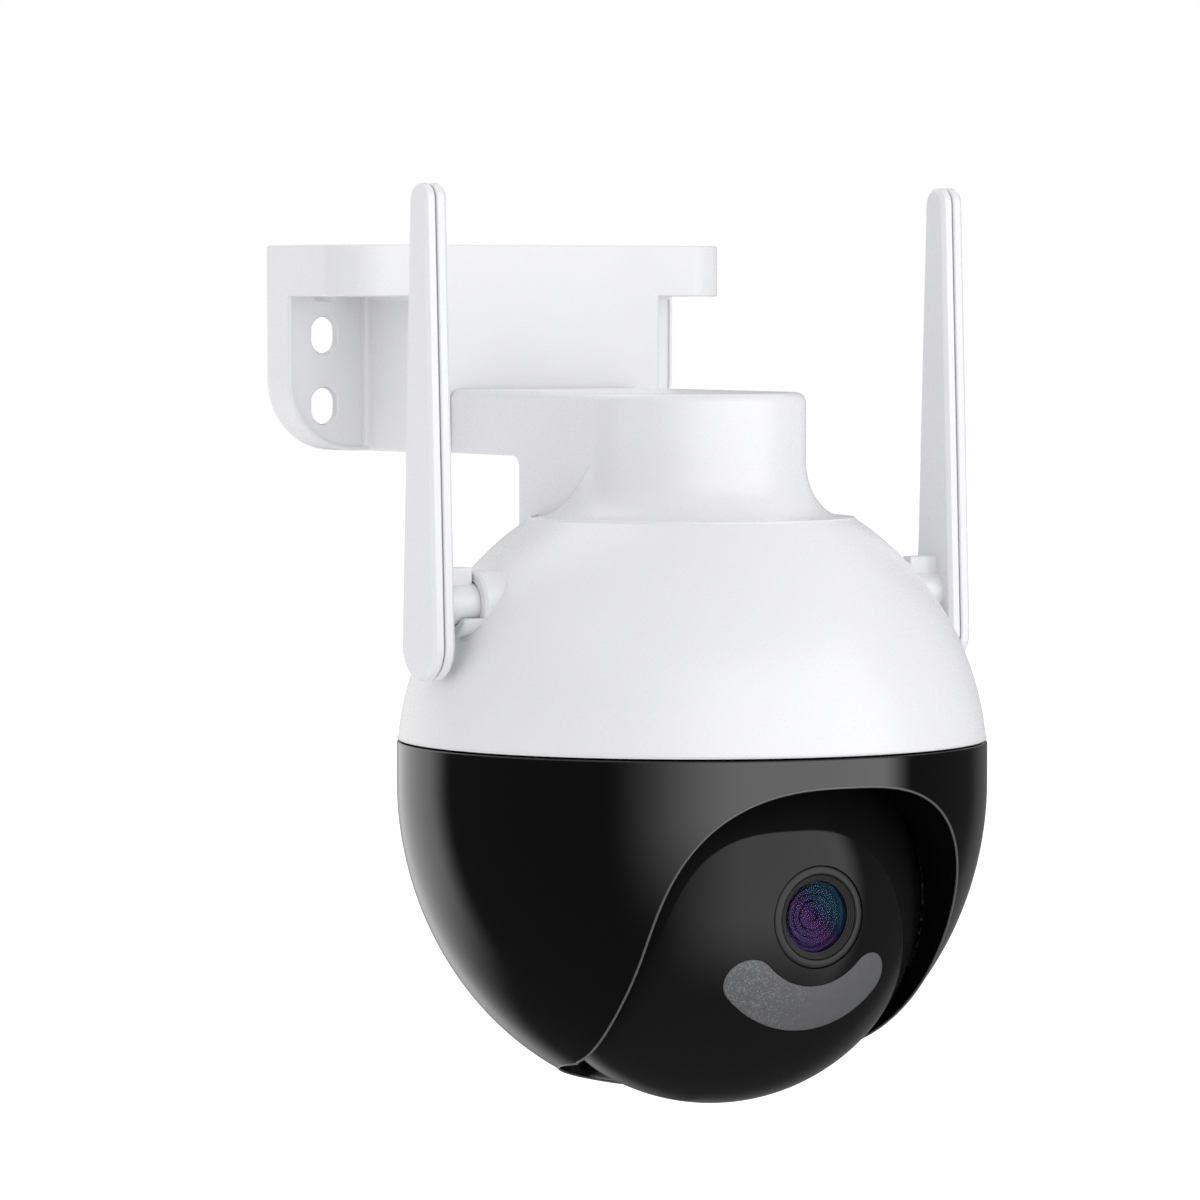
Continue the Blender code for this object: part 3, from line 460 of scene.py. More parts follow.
# Geometry Nodes
def newTree(name, inputs):
    tree = bpy.data.node_groups.new(name, "GeometryNodeTree")
    tree.interface.new_socket("Geometry", in_out="INPUT", socket_type="NodeSocketGeometry")
    tree.interface.new_socket("Geometry", in_out="OUTPUT", socket_type="NodeSocketGeometry")
    for label, kind in inputs:
        tree.interface.new_socket(label, in_out="INPUT", socket_type="NodeSocket" + kind)
    start = tree.nodes.new("NodeGroupInput")
    end = tree.nodes.new("NodeGroupOutput")
    return tree, start.outputs, end.inputs[0]


# every tree ends in Realize Instances and Set Material
def closeTree(tree, geometry, start, end):
    real = addNode(tree, "GeometryNodeRealizeInstances", {0: geometry})
    sockets = {"Geometry": real.outputs[0], "Material": start["Finish"]}
    link(tree, addNode(tree, "GeometryNodeSetMaterial", sockets).outputs[0], end)


# grows the tree on an object whose vertices are the given points, and makes the result plain
def runTree(name, tree, values, points=()):
    mesh = bpy.data.meshes.new(name)
    mesh.from_pydata([[c * mm for c in p] for p in points], [], [])
    obj = bpy.data.objects.new(name, mesh)
    bpy.context.scene.collection.objects.link(obj)
    grow = obj.modifiers.new("grow", "NODES")
    grow.node_group = tree
    sockets = {s.name: s.identifier for s in tree.interface.items_tree if s.in_out == "INPUT"}
    for label, value in values.items():
        grow[sockets[label]] = value
    obj.update_tag()
    makePlain(obj)
    return obj


# pan-head screws with a cross recess, one at each vertex, heads towards Aim
def screwTree():
    recess = ((0.0026, 0.0006, 0.0016), (0.0006, 0.0026, 0.0016))
    overlap = 0.0002
    inputs = [("Head Radius", "Float"), ("Head Height", "Float"), ("Shank Radius", "Float"),
              ("Shank Length", "Float"), ("Aim", "Vector"), ("Finish", "Material")]
    tree, start, end = newTree("crossScrews", inputs)

    # moves a solid by a share of a height
    def raised(geometry, height, share):
        offset = addNode(tree, "ShaderNodeCombineXYZ", {"Z": maths(tree, "MULTIPLY", height, share)})
        sockets = {"Geometry": geometry, "Translation": offset.outputs[0]}
        return addNode(tree, "GeometryNodeTransform", sockets).outputs[0]

    def combined(operation, solids, base=None):
        node = addNode(tree, "GeometryNodeMeshBoolean", operation=operation)
        if base:
            link(tree, base, node.inputs["Mesh 1"])
        for solid in solids:
            link(tree, solid, node.inputs["Mesh 2"])
        return node.outputs["Mesh"]

    def cylinder(label, depth, sides):
        sockets = {"Vertices": sides, "Radius": start[label + " Radius"], "Depth": start[depth]}
        return addNode(tree, "GeometryNodeMeshCylinder", sockets).outputs["Mesh"]

    sockets = {"Segments": 32, "Rings": 16, "Radius": start["Head Radius"]}
    head = addNode(tree, "GeometryNodeMeshUVSphere", sockets).outputs["Mesh"]
    keep = raised(cylinder("Head", "Head Height", 32), start["Head Height"], 0.5)
    bars = [addNode(tree, "GeometryNodeMeshCube", {"Size": size}).outputs["Mesh"] for size in recess]
    cross = [raised(bar, start["Head Height"], 1.0) for bar in bars]
    head = combined("DIFFERENCE", cross, combined("INTERSECT", [keep, head]))
    shank = raised(cylinder("Shank", "Shank Length", 24), start["Shank Length"], -0.5)
    shank = addNode(tree, "GeometryNodeTransform", {"Geometry": shank, "Translation": (0, 0, overlap)})
    aim = addNode(tree, "FunctionNodeAlignRotationToVector", {"Vector": start["Aim"]}, axis="Z")
    sockets = {"Points": start["Geometry"], "Instance": combined("UNION", [head, shank.outputs[0]]),
               "Rotation": aim.outputs["Rotation"]}
    rows = addNode(tree, "GeometryNodeInstanceOnPoints", sockets)
    closeTree(tree, rows.outputs["Instances"], start, end)
    return tree


# a rod along Y at each vertex
def rodTree():
    tree, start, end = newTree("rods", [("Size", "Float"), ("Length", "Float"), ("Finish", "Material")])
    sockets = {"Vertices": 24, "Radius": start["Size"], "Depth": start["Length"]}
    solid = addNode(tree, "GeometryNodeMeshCylinder", sockets)
    sockets = {"Points": start["Geometry"], "Instance": solid.outputs["Mesh"],
               "Rotation": (math.pi / 2, 0, 0)}
    rows = addNode(tree, "GeometryNodeInstanceOnPoints", sockets)
    closeTree(tree, rows.outputs["Instances"], start, end)
    return tree


# wall bracket
def makeBracket():
    look = {"half": 43.95, "depth": 34.6, "halfHeight": 20.3, "slabLow": 10.2, "slabCorner": 10.5,
            "plateDepth": 9.5, "plateCorner": 14.0, "boxHalf": 26.3, "wall": 2.2, "rib": 1.5, "slotX": 35.9,
            "slotHeights": (2.6, -11.4), "slotDepths": (-12.5, -25.5), "slotWidth": 5.5, "slotLength": 7.3,
            "edge": 0.45, "innerFillet": 0.9, "panelRim": 0.75, "panelDepth": 0.3, "flare": 0.45}
    top, half, depth, wall = look["halfHeight"], look["half"], look["depth"], look["wall"]
    edge, boxHalf, slabLow, plateDepth = look["edge"], look["boxHalf"], look["slabLow"], look["plateDepth"]

    # radii that round only the low outer corner
    def outerCorner(side, radius):
        return (radius, 0, 0, 0) if side < 0 else (0, radius, 0, 0)

    def slabOutline(inset):
        corner = look["slabCorner"]
        return rounded(-half, half, -depth, 0, (corner, corner, 0, 0), inset, 16)

    def plateOutline(inset):
        corner = look["plateCorner"]
        return rounded(-half, half, -top, slabLow + 1, (corner, corner, 0, 0), inset, 16)

    def coreOutline(inset):
        return rounded(-boxHalf, boxHalf, -depth, 0, (1.2, 1.2, 0, 0), inset, 6)

    slab = stack(slabOutline, softLevels(slabLow, top, edge, edge))
    plate = stack(plateOutline, softLevels(-plateDepth, 0, edge, 0.2), "Y")
    core = stack(coreOutline, softLevels(-top, slabLow + 1.5, edge, 0.0))
    bracket = newPiece("bracket_casting", core)
    fillets = []
    r = look["innerFillet"]
    # concave fillets where the box meets the plate and the slab
    for side in (-1, 1):
        x = side * (boxHalf - 0.2)
        for level, low, high, axis in ((-plateDepth, -top + 0.8, slabLow + 0.3, "Z"),
                                       (slabLow, -depth + 0.9, -plateDepth + 0.3, "Y")):
            corner = [(x, level + 0.2), (x + side * (r + 0.2), level + 0.2)]
            corner += [(side * (boxHalf + r - r * math.sin(a)), level - r + r * math.cos(a))
                       for a in (math.pi / 12 * k for k in range(7))]
            corner += [(x, level - r)]
            fillets.append(prism(corner, low, high, axis))
    inner = boxHalf - wall
    cuts = [block(-inner, inner, wall - depth, -plateDepth, -top + wall, slabLow)]
    for side in (-1, 1):
        x0, x1 = sorted((side * look["rib"], side * inner))
        cuts.append(block(x0, x1, wall - depth, 1, -top + wall, top + 1))
        x0, x1 = sorted((side * boxHalf, side * (half - wall)))
        front = outerCorner(side, look["slabCorner"] - wall)
        cuts.append(prism(rounded(x0, x1, wall - depth, 1, front), slabLow + wall, top + 1))
        foot = outerCorner(side, look["plateCorner"] - wall)
        plateHollow = rounded(x0, x1, -top + wall, slabLow + wall + 1, foot)
        cuts.append(prism(plateHollow, wall - plateDepth, 1, "Y"))
        # the wing's face lies a little below its rim
        x0, x1 = sorted((side * (boxHalf + 1.3), side * (half - look["panelRim"])))
        foot = outerCorner(side, look["plateCorner"] - look["panelRim"])
        panel = rounded(x0, x1, -top + look["panelRim"], slabLow - 0.6, foot, 0, 16)
        cuts.append(prism(panel, -plateDepth - 1, -plateDepth + look["panelDepth"], "Y"))
        r, reach, flare = look["slotWidth"] / 2, look["slotLength"] / 2, look["flare"]

        def slot(inset):
            return rounded(-r - inset, r + inset, -reach - inset, reach + inset, (r + inset,) * 4, 0, 10)

        for height in look["slotHeights"]:
            face = look["panelDepth"] - plateDepth
            levels = [(face - 1, flare), (face, flare), (face + 0.12, 0.18), (face + flare, 0), (0.5, 0)]
            cuts.append(stack(slot, levels, "Y", (side * look["slotX"], height)))
        for back in look["slotDepths"]:
            levels = [(slabLow - 1, flare), (slabLow, flare), (slabLow + 0.12, 0.18), (slabLow + flare, 0)]
            levels.append((slabLow + wall + 1, 0))
            cuts.append(stack(slot, levels, "Z", (side * look["slotX"], back)))
        cuts.append(disc(1.6, -depth - 1, wall - depth + 1, "Y", (side * 14.0, -14.1), 24))
    cuts.append(block(-7, 7, -depth - 1, wall - depth + 1, -17.8, -10.4))
    cuts.append(disc(3.6, -top - 1, -top + wall + 1, "Z", (12.0, -20.0)))
    carve(bracket, ("UNION", [plate, slab, *fillets]), ("DIFFERENCE", cuts))
    settle(bracket, atWall)
    dress(bracket, paint["whiteShell"], "white_shell", "bracket_and_dome", "wall_bracket")
    print("bracket made")


# arm and neck, lofted upwards ring by ring
def makeArm():
    look = {"half": 21.6, "low": 58.1, "high": 70.5, "columnBack": 29.6, "baseRadius": 30.1,
            "back": 55.9, "topEdge": 1.9, "fillet": 2.2, "endEdge": 0.5, "columnEdge": 1.4, "wall": 2.5,
            "crease": 0.2, "flareBase": 46.8}
    half, low, high, flareBase = look["half"], look["low"], look["high"], look["flareBase"]

    def ring(z, radius, back, cornerRadius, inset=0.0):
        side = half - inset
        radius = max(radius - inset, side + 0.0001)
        meet = math.sqrt(radius ** 2 - side ** 2)
        start = math.degrees(math.atan2(meet, side))
        points = arc(0, 0, radius, 180 - start, 360 + start, 120)
        run = back - inset - cornerRadius
        points += [(side, meet + (run - meet) * k / 8) for k in range(1, 8)]
        points += arc(side - cornerRadius, run, cornerRadius, 0, 90, 8)
        points += arc(-side + cornerRadius, run, cornerRadius, 90, 180, 8)
        points += [(-side, run + (meet - run) * k / 8) for k in range(1, 8)]
        return [(x, y, z) for x, y in points]

    # quarter ellipse from the neck out to its base
    def flareRadius(z):
        t = min(max((low - z) / (low - flareBase), 0.0), 1.0)
        return half + (look["baseRadius"] - half) * (1 - math.sqrt(max(0.0, 1 - t ** 2.1)) ** 0.92)

    rings = []
    flareSteps = 28
    columnBack, corner = look["columnBack"], look["columnEdge"]
    rings.append(ring(35.0, look["baseRadius"], columnBack, corner))
    rings.append(ring(46.3, look["baseRadius"], columnBack, corner))
    for i in range(flareSteps + 1):
        z = flareBase + (low - look["fillet"] - flareBase) * (i / flareSteps) ** 1.3
        rings.append(ring(z, flareRadius(z), columnBack, corner))
    for i in range(1, 7):
        a = math.pi / 2 * i / 6
        z = low - look["fillet"] * (1 - math.sin(a))
        rings.append(ring(z, flareRadius(z), columnBack + look["fillet"] * (1 - math.cos(a)), corner))
    rings.append(ring(low + 0.001, half, look["back"] - look["endEdge"], look["endEdge"]))
    rings.append(ring(low + 0.4, half, look["back"], look["endEdge"]))
    for i in range(7):
        a = math.pi / 2 * i / 6
        edge = look["topEdge"]
        z, inset = high - edge * (1 - math.sin(a)), edge * (1 - math.cos(a))
        rings.append(ring(z, half, look["back"] + inset * 0.85, look["endEdge"], inset))
    arm = newPiece("arm_and_neck", loft(rings))
    creases = []
    for side in (-1, 1):
        run = []
        for i in range(22):
            z = 46.9 + (low - 1.2 - 46.9) * i / 21
            radius = flareRadius(z)
            run.append(Vector((side * (half - 0.06), math.sqrt(max(radius ** 2 - half ** 2, 0.0)), z)))
        creases.append(openTube(run, look["crease"]))
    # room for the dome's outer surface, its lip and its seat
    gapRadius, lipRadius = 56.02, 31.1
    shellGap = arc(0, 0, gapRadius, 25, math.degrees(math.acos(lipRadius / gapRadius)), 24)
    shellGap.insert(0, (0.0, shellGap[0][1]))
    shellGap += [(lipRadius, 47.0), (30.3, 47.0), (30.3, 44.7), (0.0, 44.7)]
    inner = half - 3.0
    back = look["back"]
    cuts = [lathe(shellGap, 160), disc(17.5, 40, high - look["wall"], sides=64),
            block(-inner, inner, 0, back - 5, low + 2.5, high - 2.55),
            block(-7, 7, back - 6, back + 1, low + 2.55, high - 2.6),
            block(-1.8, 1.8, back - 5.6, back - 2.1, low - 1, low + 1.3),
            lathe([(24.7, 44), (27.8, 44), (27.8, 46.2), (24.7, 46.2)], 64)]
    for side in (-1, 1):
        cuts.append(disc(1.5, back - 7, back + 1, "Y", (side * 14.0, (low + high) / 2), 24))
        cuts.append(disc(1.5, 44, 51.5, "Z", (side * 20.5, 0), 24))
    carve(arm, ("UNION", creases), ("DIFFERENCE", cuts))
    settle(arm, atDome, angle=28)
    dress(arm, paint["whiteShell"], "white_shell", "bracket_and_dome", "arm_neck")
    print("arm made")


# dome
def makeDome():
    look = {"radius": 56.0, "wall": 2.4, "seam": 4.9, "seat": 44.6, "seatRadius": 30.4, "bossRadius": 6.2,
            "bossEnd": 47.9, "collarEnd": 51.8, "collarTop": -2.5, "bore": 4.2, "edge": 0.45, "lip": 0.3,
            "chamfer": 0.5}
    radius, seam, edge = look["radius"], look["seam"], look["edge"]
    inner = radius - look["wall"]
    start = math.degrees(math.asin((seam + edge) / radius))
    lipR = look["seatRadius"] + look["lip"]
    end = math.degrees(math.acos((lipR + look["lip"]) / radius))
    profile = [(radius - edge * (1 - math.sin(a)) - 0.04, seam + edge * (1 - math.cos(a)))
               for a in (math.pi / 2 * k / 5 for k in range(5))]
    profile += arc(0, 0, radius, start, end, 56)
    # a fine raised lip round the neck's seat
    lipZ = math.sqrt(radius ** 2 - lipR ** 2) - 0.12
    profile += arc(lipR, lipZ, look["lip"], 20, 180, 8)
    profile += [(look["seatRadius"], look["seat"]), (16.0, look["seat"]), (16.0, look["seat"] - 2.2)]
    floorR = math.sqrt(inner ** 2 - (look["seat"] - 2.2) ** 2)
    innerTop, innerLow = math.degrees(math.acos(floorR / inner)), math.degrees(math.asin(seam / inner))
    profile += arc(0, 0, inner, innerTop, innerLow, 24)
    dome = newPiece("dome_shell", lathe(profile, 192))
    adds, cuts = [], []
    chamfer, collarEnd = look["chamfer"], look["collarEnd"]
    for side in (-1, 1):
        boss = [(0.0, 38.6), (look["bossRadius"], 38.6), (look["bossRadius"], look["bossEnd"] - chamfer)]
        boss += [(look["bossRadius"] - chamfer, look["bossEnd"]), (0.0, look["bossEnd"])]
        adds.append(lathe([(r, side * x) for r, x in boss], 96, "X", (0, hingeHeight)))

        def collar(inset):
            r = look["bossRadius"] - 0.02 - inset
            lower = math.degrees(math.asin((-look["collarTop"] + inset * 0.5) / r))
            return arc(0, 0, r, 180 + lower, 360 - lower, 40)

        levels = [(side * 44.0, 0), (side * (collarEnd - chamfer), 0), (side * collarEnd, chamfer)]
        adds.append(stack(collar, levels, "X", (0, hingeHeight)))
        x0, x1 = sorted((side * 36.0, side * (collarEnd + 1)))
        cuts.append(disc(look["bore"], x0, x1, "X", (0, hingeHeight), 64))
        cuts.append(disc(1.5, 40, 46, "Z", (side * 20.5, 0), 24))
    for spot in spotsRound(*screwRings["carrier"]):
        adds.append(disc(3.2, 26.9, 34.0, "Z", spot, 24))
        cuts.append(disc(1.5, 25.6, 31.0, "Z", spot, 16))
    carve(dome, ("UNION", adds), ("DIFFERENCE", cuts))
    settle(dome, atDome, sphereNormal(radius), 25)
    dress(dome, paint["whiteShell"], "white_shell", "bracket_and_dome", "upper_shell")
    print("dome made")


# radius and angles of the screws that stand in rings round the pan axis
screwRings = {"carrier": (41.0, (30, 150, 270)), "head": (50.5, (25, 155, 205, 335))}

# panning head
headLook = {"radius": 56.0, "straightZ": -3.0, "depth": 61.5, "wall": 2.4, "top": 4.6, "archHalf": 32.7,
            "archCentreZ": -33.7, "archRise": 33.0, "archDrop": 36.0, "archPower": 2.7, "archWall": 1.8,
            "archBack": 14.0, "archCorner": 22.0, "lipHalf": 29.5, "lipCorner": 20.0, "lipTop": -50.5,
            "ballSweep": 40.5, "rimBead": 0.22}


def archOutline(grow=0.0, count=168):
    points = []
    for i in range(count):
        a = 2 * math.pi * i / count
        c, s = math.cos(a), math.sin(a)
        height = (headLook["archRise"] if s > 0 else headLook["archDrop"]) + grow
        x = math.copysign(abs(c) ** (2 / headLook["archPower"]), c) * (headLook["archHalf"] + grow)
        z = math.copysign(abs(s) ** (2 / headLook["archPower"]), s) * height
        points.append((x, headLook["archCentreZ"] + z))
    return points


def headProfile(top, inset=0.0, steps=64, edge=0.0):
    radius, depth = headLook["radius"] - inset, headLook["depth"] - inset
    points = [(0.0, top)]
    if edge:
        points += [(radius - edge * (1 - math.cos(a)), top - edge * (1 - math.sin(a)))
                   for a in (math.pi / 2 * (1 - k / 5) for k in range(6))]
    else:
        points.append((radius, top))
    for i in range(steps + 1):
        a = math.pi / 2 * i / steps
        points.append((radius * math.cos(a), headLook["straightZ"] - depth * math.sin(a)))
    points[-1] = (0.0, headLook["straightZ"] - depth)
    return points


def ball(radius, sides=160, rings=80, axis="Y", centre=(0, 0, 0)):
    profile = [(0.0, -radius)]
    for i in range(1, rings):
        a = math.pi * i / rings
        profile.append((radius * math.sin(a), -radius * math.cos(a)))
    profile.append((0.0, radius))
    bm = lathe(profile, sides, axis)
    bmesh.ops.translate(bm, verts=bm.verts, vec=centre)
    return bm


# closed runs of sharp edges that border the true outer surface
def rimLoops(obj, rule, angle=35):
    bm = bmesh.new()
    bm.from_mesh(obj.data)

    def outside(face):
        found = [rule(v.co / mm) for v in face.verts]
        return all(n is not None and n.dot(face.normal) > 0.94 for n in found)

    edges = set()
    for edge in bm.edges:
        if len(edge.link_faces) == 2 and edge.calc_face_angle() > math.radians(angle):
            if sum(outside(face) for face in edge.link_faces) == 1:
                edges.add(edge)
    loops = []
    while edges:
        edge = edges.pop()
        run = [edge.verts[0].co.copy() / mm, edge.verts[1].co.copy() / mm]
        end = edge.verts[1]
        while True:
            following = next((e for e in end.link_edges if e in edges), None)
            if not following:
                break
            edges.discard(following)
            end = following.other_vert(end)
            run.append(end.co.copy() / mm)
        loops.append(run)
    bm.free()
    return [run for run in loops if len(run) > 20]


# the same closed run with points at even spacing
def evenRun(run, step):
    if (run[0] - run[-1]).length < tiny:
        run = run[:-1]
    closed = run + [run[0]]
    lengths = [0.0]
    for a, b in zip(closed, closed[1:]):
        lengths.append(lengths[-1] + (b - a).length)
    count = int(lengths[-1] / step)
    points, k = [], 0
    for i in range(count):
        target = lengths[-1] * i / count
        while lengths[k + 1] < target:
            k += 1
        span = max(lengths[k + 1] - lengths[k], tiny)
        points.append(closed[k].lerp(closed[k + 1], (target - lengths[k]) / span))
    return points


# a closed bead along a closed run
def tube(points, radius, sides=10):
    count = len(points)
    bm = bmesh.new()
    rings = []
    for i, point in enumerate(points):
        along = (points[(i + 1) % count] - points[i - 1]).normalized()
        out = Vector((point.x, point.y, point.z + 30)).normalized()
        first = (out - along * out.dot(along)).normalized()
        second = along.cross(first)
        ring = []
        for k in range(sides):
            a = 2 * math.pi * k / sides
            ring.append(bm.verts.new(point + first * radius * math.cos(a) + second * radius * math.sin(a)))
        rings.append(ring)
    for i in range(count):
        ring, other = rings[i], rings[(i + 1) % count]
        for k in range(sides):
            j = (k + 1) % sides
            bm.faces.new((ring[k], ring[j], other[j], other[k]))
    return bm


def speakerHolePlaces():
    return [(0.0, 51.0, -11.0)] + [(x, 51.0, z - 11.0) for x, z in arc(0, 0, 4.0, 0, 300, 5)]


def coverOutline(grow=0.0):
    return rounded(-9 - grow, 9 + grow, -34 - grow, -26 + grow, (2 + grow,) * 4, 0, 8)


def makeHead():
    rule = headNormal(headLook)
    far, wall, back = -66.0, headLook["archWall"], headLook["archBack"]
    planHalf, corner, lipTop = headLook["lipHalf"], headLook["lipCorner"], headLook["lipTop"]
    shell = newPiece("head_shell", lathe(headProfile(headLook["top"], 0.0, 72, 0.45), 192))
    cavity = newPiece("head_cavity", lathe(headProfile(headLook["top"] + 1, headLook["wall"], 36), 96))
    lip = prism(rounded(-planHalf - wall, planHalf + wall, far - 2, back + wall,
                        (0, 0, corner + wall, corner + wall), 0, 24), -75, lipTop - 1.5)
    carve(cavity, ("DIFFERENCE", [prism(archOutline(wall), far - 1, -10.0, "Y"), lip]))
    opening = prism(archOutline(), far, back - headLook["archCorner"], "Y")
    lower = prism(rounded(-planHalf, planHalf, far + 1, back, (0, 0, corner, corner), 0, 32), -76, lipTop)
    offset = (eyeCentre - domeCentre) / mm
    sweep = ball(headLook["ballSweep"], 160, 80, "X", offset)
    carve(shell, ("DIFFERENCE", [cavity, opening, lower, sweep]))
    loops = rimLoops(shell, rule)
    posts, cuts = [], [prism(coverOutline(0.3), 40, 62, "Y")]
    for spot in spotsRound(*screwRings["head"]):
        posts.append(disc(3.4, -12, 1.2, "Z", spot, 24))
        cuts.append(disc(1.5, -9, 1.5, "Z", spot, 16))
    values = {"Size": 0.8 * mm, "Length": 16 * mm, "Finish": paint["glossBlack"]}
    holes = runTree("speaker_holes", rodTree(), values, speakerHolePlaces())
    carve(shell, ("UNION", posts), ("DIFFERENCE", [*cuts, holes]))
    settle(shell, atDome, rule, 30)
    dress(shell, paint["glossBlack"], "black_gloss", "pan_head", "yoke_shell")
    # the long runs that border the opening, not the tilt sweep or the cover
    long = [run for run in loops if len(run) > 150]
    whole = [run for run in long if max(p.y for p in run) < 40 and min(p.z for p in run) < -20]
    for index, run in enumerate(whole, 1):
        # the bead's lighter grey finish is a painted highlight along the opening's edge
        bead = newPiece(f"opening_rim_{index}", tube(evenRun(run, 0.7), headLook["rimBead"]))
        settle(bead, atDome, angle=80)
        dress(bead, paint["rimPaintedHighlight"], "black_gloss", "pan_head")
    print("head made")


def makeServiceCover():
    cover = newPiece("service_door", lathe(headProfile(headLook["top"], 0.05), 192))
    inside = lathe(headProfile(headLook["top"] + 1, headLook["wall"], 36), 96)
    carve(cover, ("DIFFERENCE", [inside]), ("INTERSECT", [prism(coverOutline(), 30, 62, "Y")]))
    settle(cover, atDome, None, 30)
    dress(cover, paint["glossBlack"], "black_gloss", "pan_head", "service_cover")
    print("service cover made")


# eyeball, in its own frame with the lens towards -Y
eyeLook = {"radius": 40.0, "flat": 35.0, "wall": 2.0, "split": 9.0, "tilt": 2.4, "ringRadius": 9.5,
           "lightBand": (13.0, 21.8), "lightHalfAngle": 47.0, "flatEdge": 0.9}
atEye = place(eyeCentre, eyeLook["tilt"])


def lampOutline(grow=0.0):
    inner, outer = eyeLook["lightBand"]
    middle, half = (inner + outer) / 2, (outer - inner) / 2 + grow
    left, right = 270 - eyeLook["lightHalfAngle"], 270 + eyeLook["lightHalfAngle"]
    points = arc(0, 0, middle + half, left, right, 64)
    for side, start in ((right, right), (left, left + 180)):
        a = math.radians(side)
        points += arc(middle * math.cos(a), middle * math.sin(a), half, start, start + 180, 24)[1:-1]
        if side == right:
            points += arc(0, 0, middle - half, right, left, 56)
    return points


# the ball with its two flats and softened flat edges, turned about the tilt axis
def eyeSolid():
    radius, flat, edge = eyeLook["radius"], eyeLook["flat"], eyeLook["flatEdge"]
    reach = math.degrees(math.asin((flat - edge * 0.75) / radius))
    side = arc(0, 0, radius, -reach, reach, 96)
    flatR = math.sqrt(radius ** 2 - flat ** 2)
    rim = [(flatR - edge * 0.9, flat), (flatR - edge * 0.2, flat - edge * 0.12)]
    profile = [(0.0, -flat), *[(r, -x) for r, x in rim], *side, *rim[::-1], (0.0, flat)]
    return lathe(profile, 192, "X")


def eyeHollow():
    inner, flat = eyeLook["radius"] - eyeLook["wall"], eyeLook["flat"] - eyeLook["wall"]
    reach = math.degrees(math.asin(flat / inner))
    return lathe([(0.0, -flat), *arc(0, 0, inner, -reach, reach, 32), (0.0, flat)], 96, "X")


def makeEye():
    big, split, gap = 45.0, eyeLook["split"], 0.3
    for name, low, high in (("eye_shell_front", split, big), ("eye_shell_rear", -big, split + gap)):
        front = name == "eye_shell_front"
        shell = newPiece(name, eyeSolid())
        cuts = [eyeHollow(), block(-big, big, low, high, -big, big)]
        posts, bores = [], []
        for spot in ((17.5, 30.0), (-17.5, 30.0)):
            ends = (-2.0, split) if front else (split + gap, split + 4)
            posts.append(disc(2.9, *ends, "Y", spot, 24))
            bores.append(disc(1.5, ends[0] + (2 if front else -1), ends[1] + 1, "Y", spot, 16))
            if not front:
                bores.append(disc(3.0, split + 4, big, "Y", spot, 24))
        if front:
            bores.append(disc(eyeLook["ringRadius"] + 0.12, -big, -20, "Y", sides=96))
            bores.append(prism(lampOutline(0.1), -big, -20, "Y"))
            for side in (-1, 1):
                bores.append(disc(4.9, *sorted((side * 30, side * big)), "X", sides=32))
        carve(shell, ("DIFFERENCE", cuts), ("UNION", posts), ("DIFFERENCE", bores))
        settle(shell, atEye, sphereNormal(eyeLook["radius"]), 30)
        dress(shell, paint["ballBlack"], "black_gloss", "eyeball", "eye_front" if front else "eye_rear")
    print("eyeball made")


def makeLens():
    look = {"ring": 9.5, "ringInner": 7.95, "glass": 6.45, "rimY": -37.55, "bulge": 1.6, "sides": 128}
    ring, ringInner, glassR = look["ring"], look["ringInner"], look["glass"]
    rimY, sides = look["rimY"], look["sides"]
    profile = [(ringInner, -34.0), (ring, -34.0), (ring, -38.4), (ring - 0.1, -38.68), (ring - 0.35, -38.86)]
    profile += [(ringInner + 0.35, -39.1), (ringInner + 0.1, -39.02), (ringInner, -38.8)]
    bezel = newPiece("lens_bezel", lathe(profile, sides, "Y"))
    settle(bezel, atEye, angle=50)
    dress(bezel, paint["bezel"], "lens_bezel", "eyeball", "lens_ring")
    # shallow stepped baffles down to the glass
    barrel = [(5.4, -18.0), (ringInner - 0.15, -18.0), (ringInner - 0.15, -38.75)]
    for step in range(4):
        radius, depth = ringInner - 0.35 - 0.3 * step, -38.7 + 0.2 * step
        barrel += [(radius, depth), (radius - 0.05, depth + 0.16)]
    barrel += [(glassR + 0.12, rimY + 0.4), (glassR + 0.12, -34.3), (5.4, -34.3)]
    lensTube = newPiece("lens_tube", lathe(barrel, sides, "Y"))
    settle(lensTube, atEye, angle=30)
    dress(lensTube, paint["lensBlack"], "black_matte", "eyeball", "lens_barrel")
    dome = [(glassR * math.sin(a), rimY - look["bulge"] * math.cos(a))
            for a in (math.pi / 2 * k / 20 for k in range(21))]
    glass = newPiece("front_element", lathe([*dome, (glassR, rimY + 0.5), (0.0, rimY + 0.5)], sides, "Y"))
    settle(glass, atEye, angle=40)
    dress(glass, glassMaterial(), "lens_glass", "eyeball", "lens_glass")
    # coated inner elements and their retaining rings, seen through the front element; their violet to cyan
    # colour is a painted reflection
    floor = rimY + 0.75
    steps = [(0.0, 1.9), (6.4, 1.9), (6.4, 0.0), (5.9, 0.05), (5.5, 0.5), (5.2, 0.55), (5.1, 0.1),
             (4.6, 0.0), (4.2, 0.25), (4.0, 0.6), (3.9, 0.25), (3.3, 0.1), (2.9, 0.35), (2.6, 0.7),
             (2.5, 0.3), (1.9, 0.08), (1.2, 0.2), (1.0, 0.9), (0.0, 0.9)]
    profile = [(r, floor + d) for r, d in steps]
    inner = newPiece("inner_elements", lathe(profile, sides, "Y"))
    settle(inner, atEye, angle=25)
    axisPoint = atEye @ Vector((0, floor * mm, 0))
    dress(inner, coatTintAndPaintedReflectionMaterial(axisPoint), "lens_glass", "eyeball")
    print("lens made")


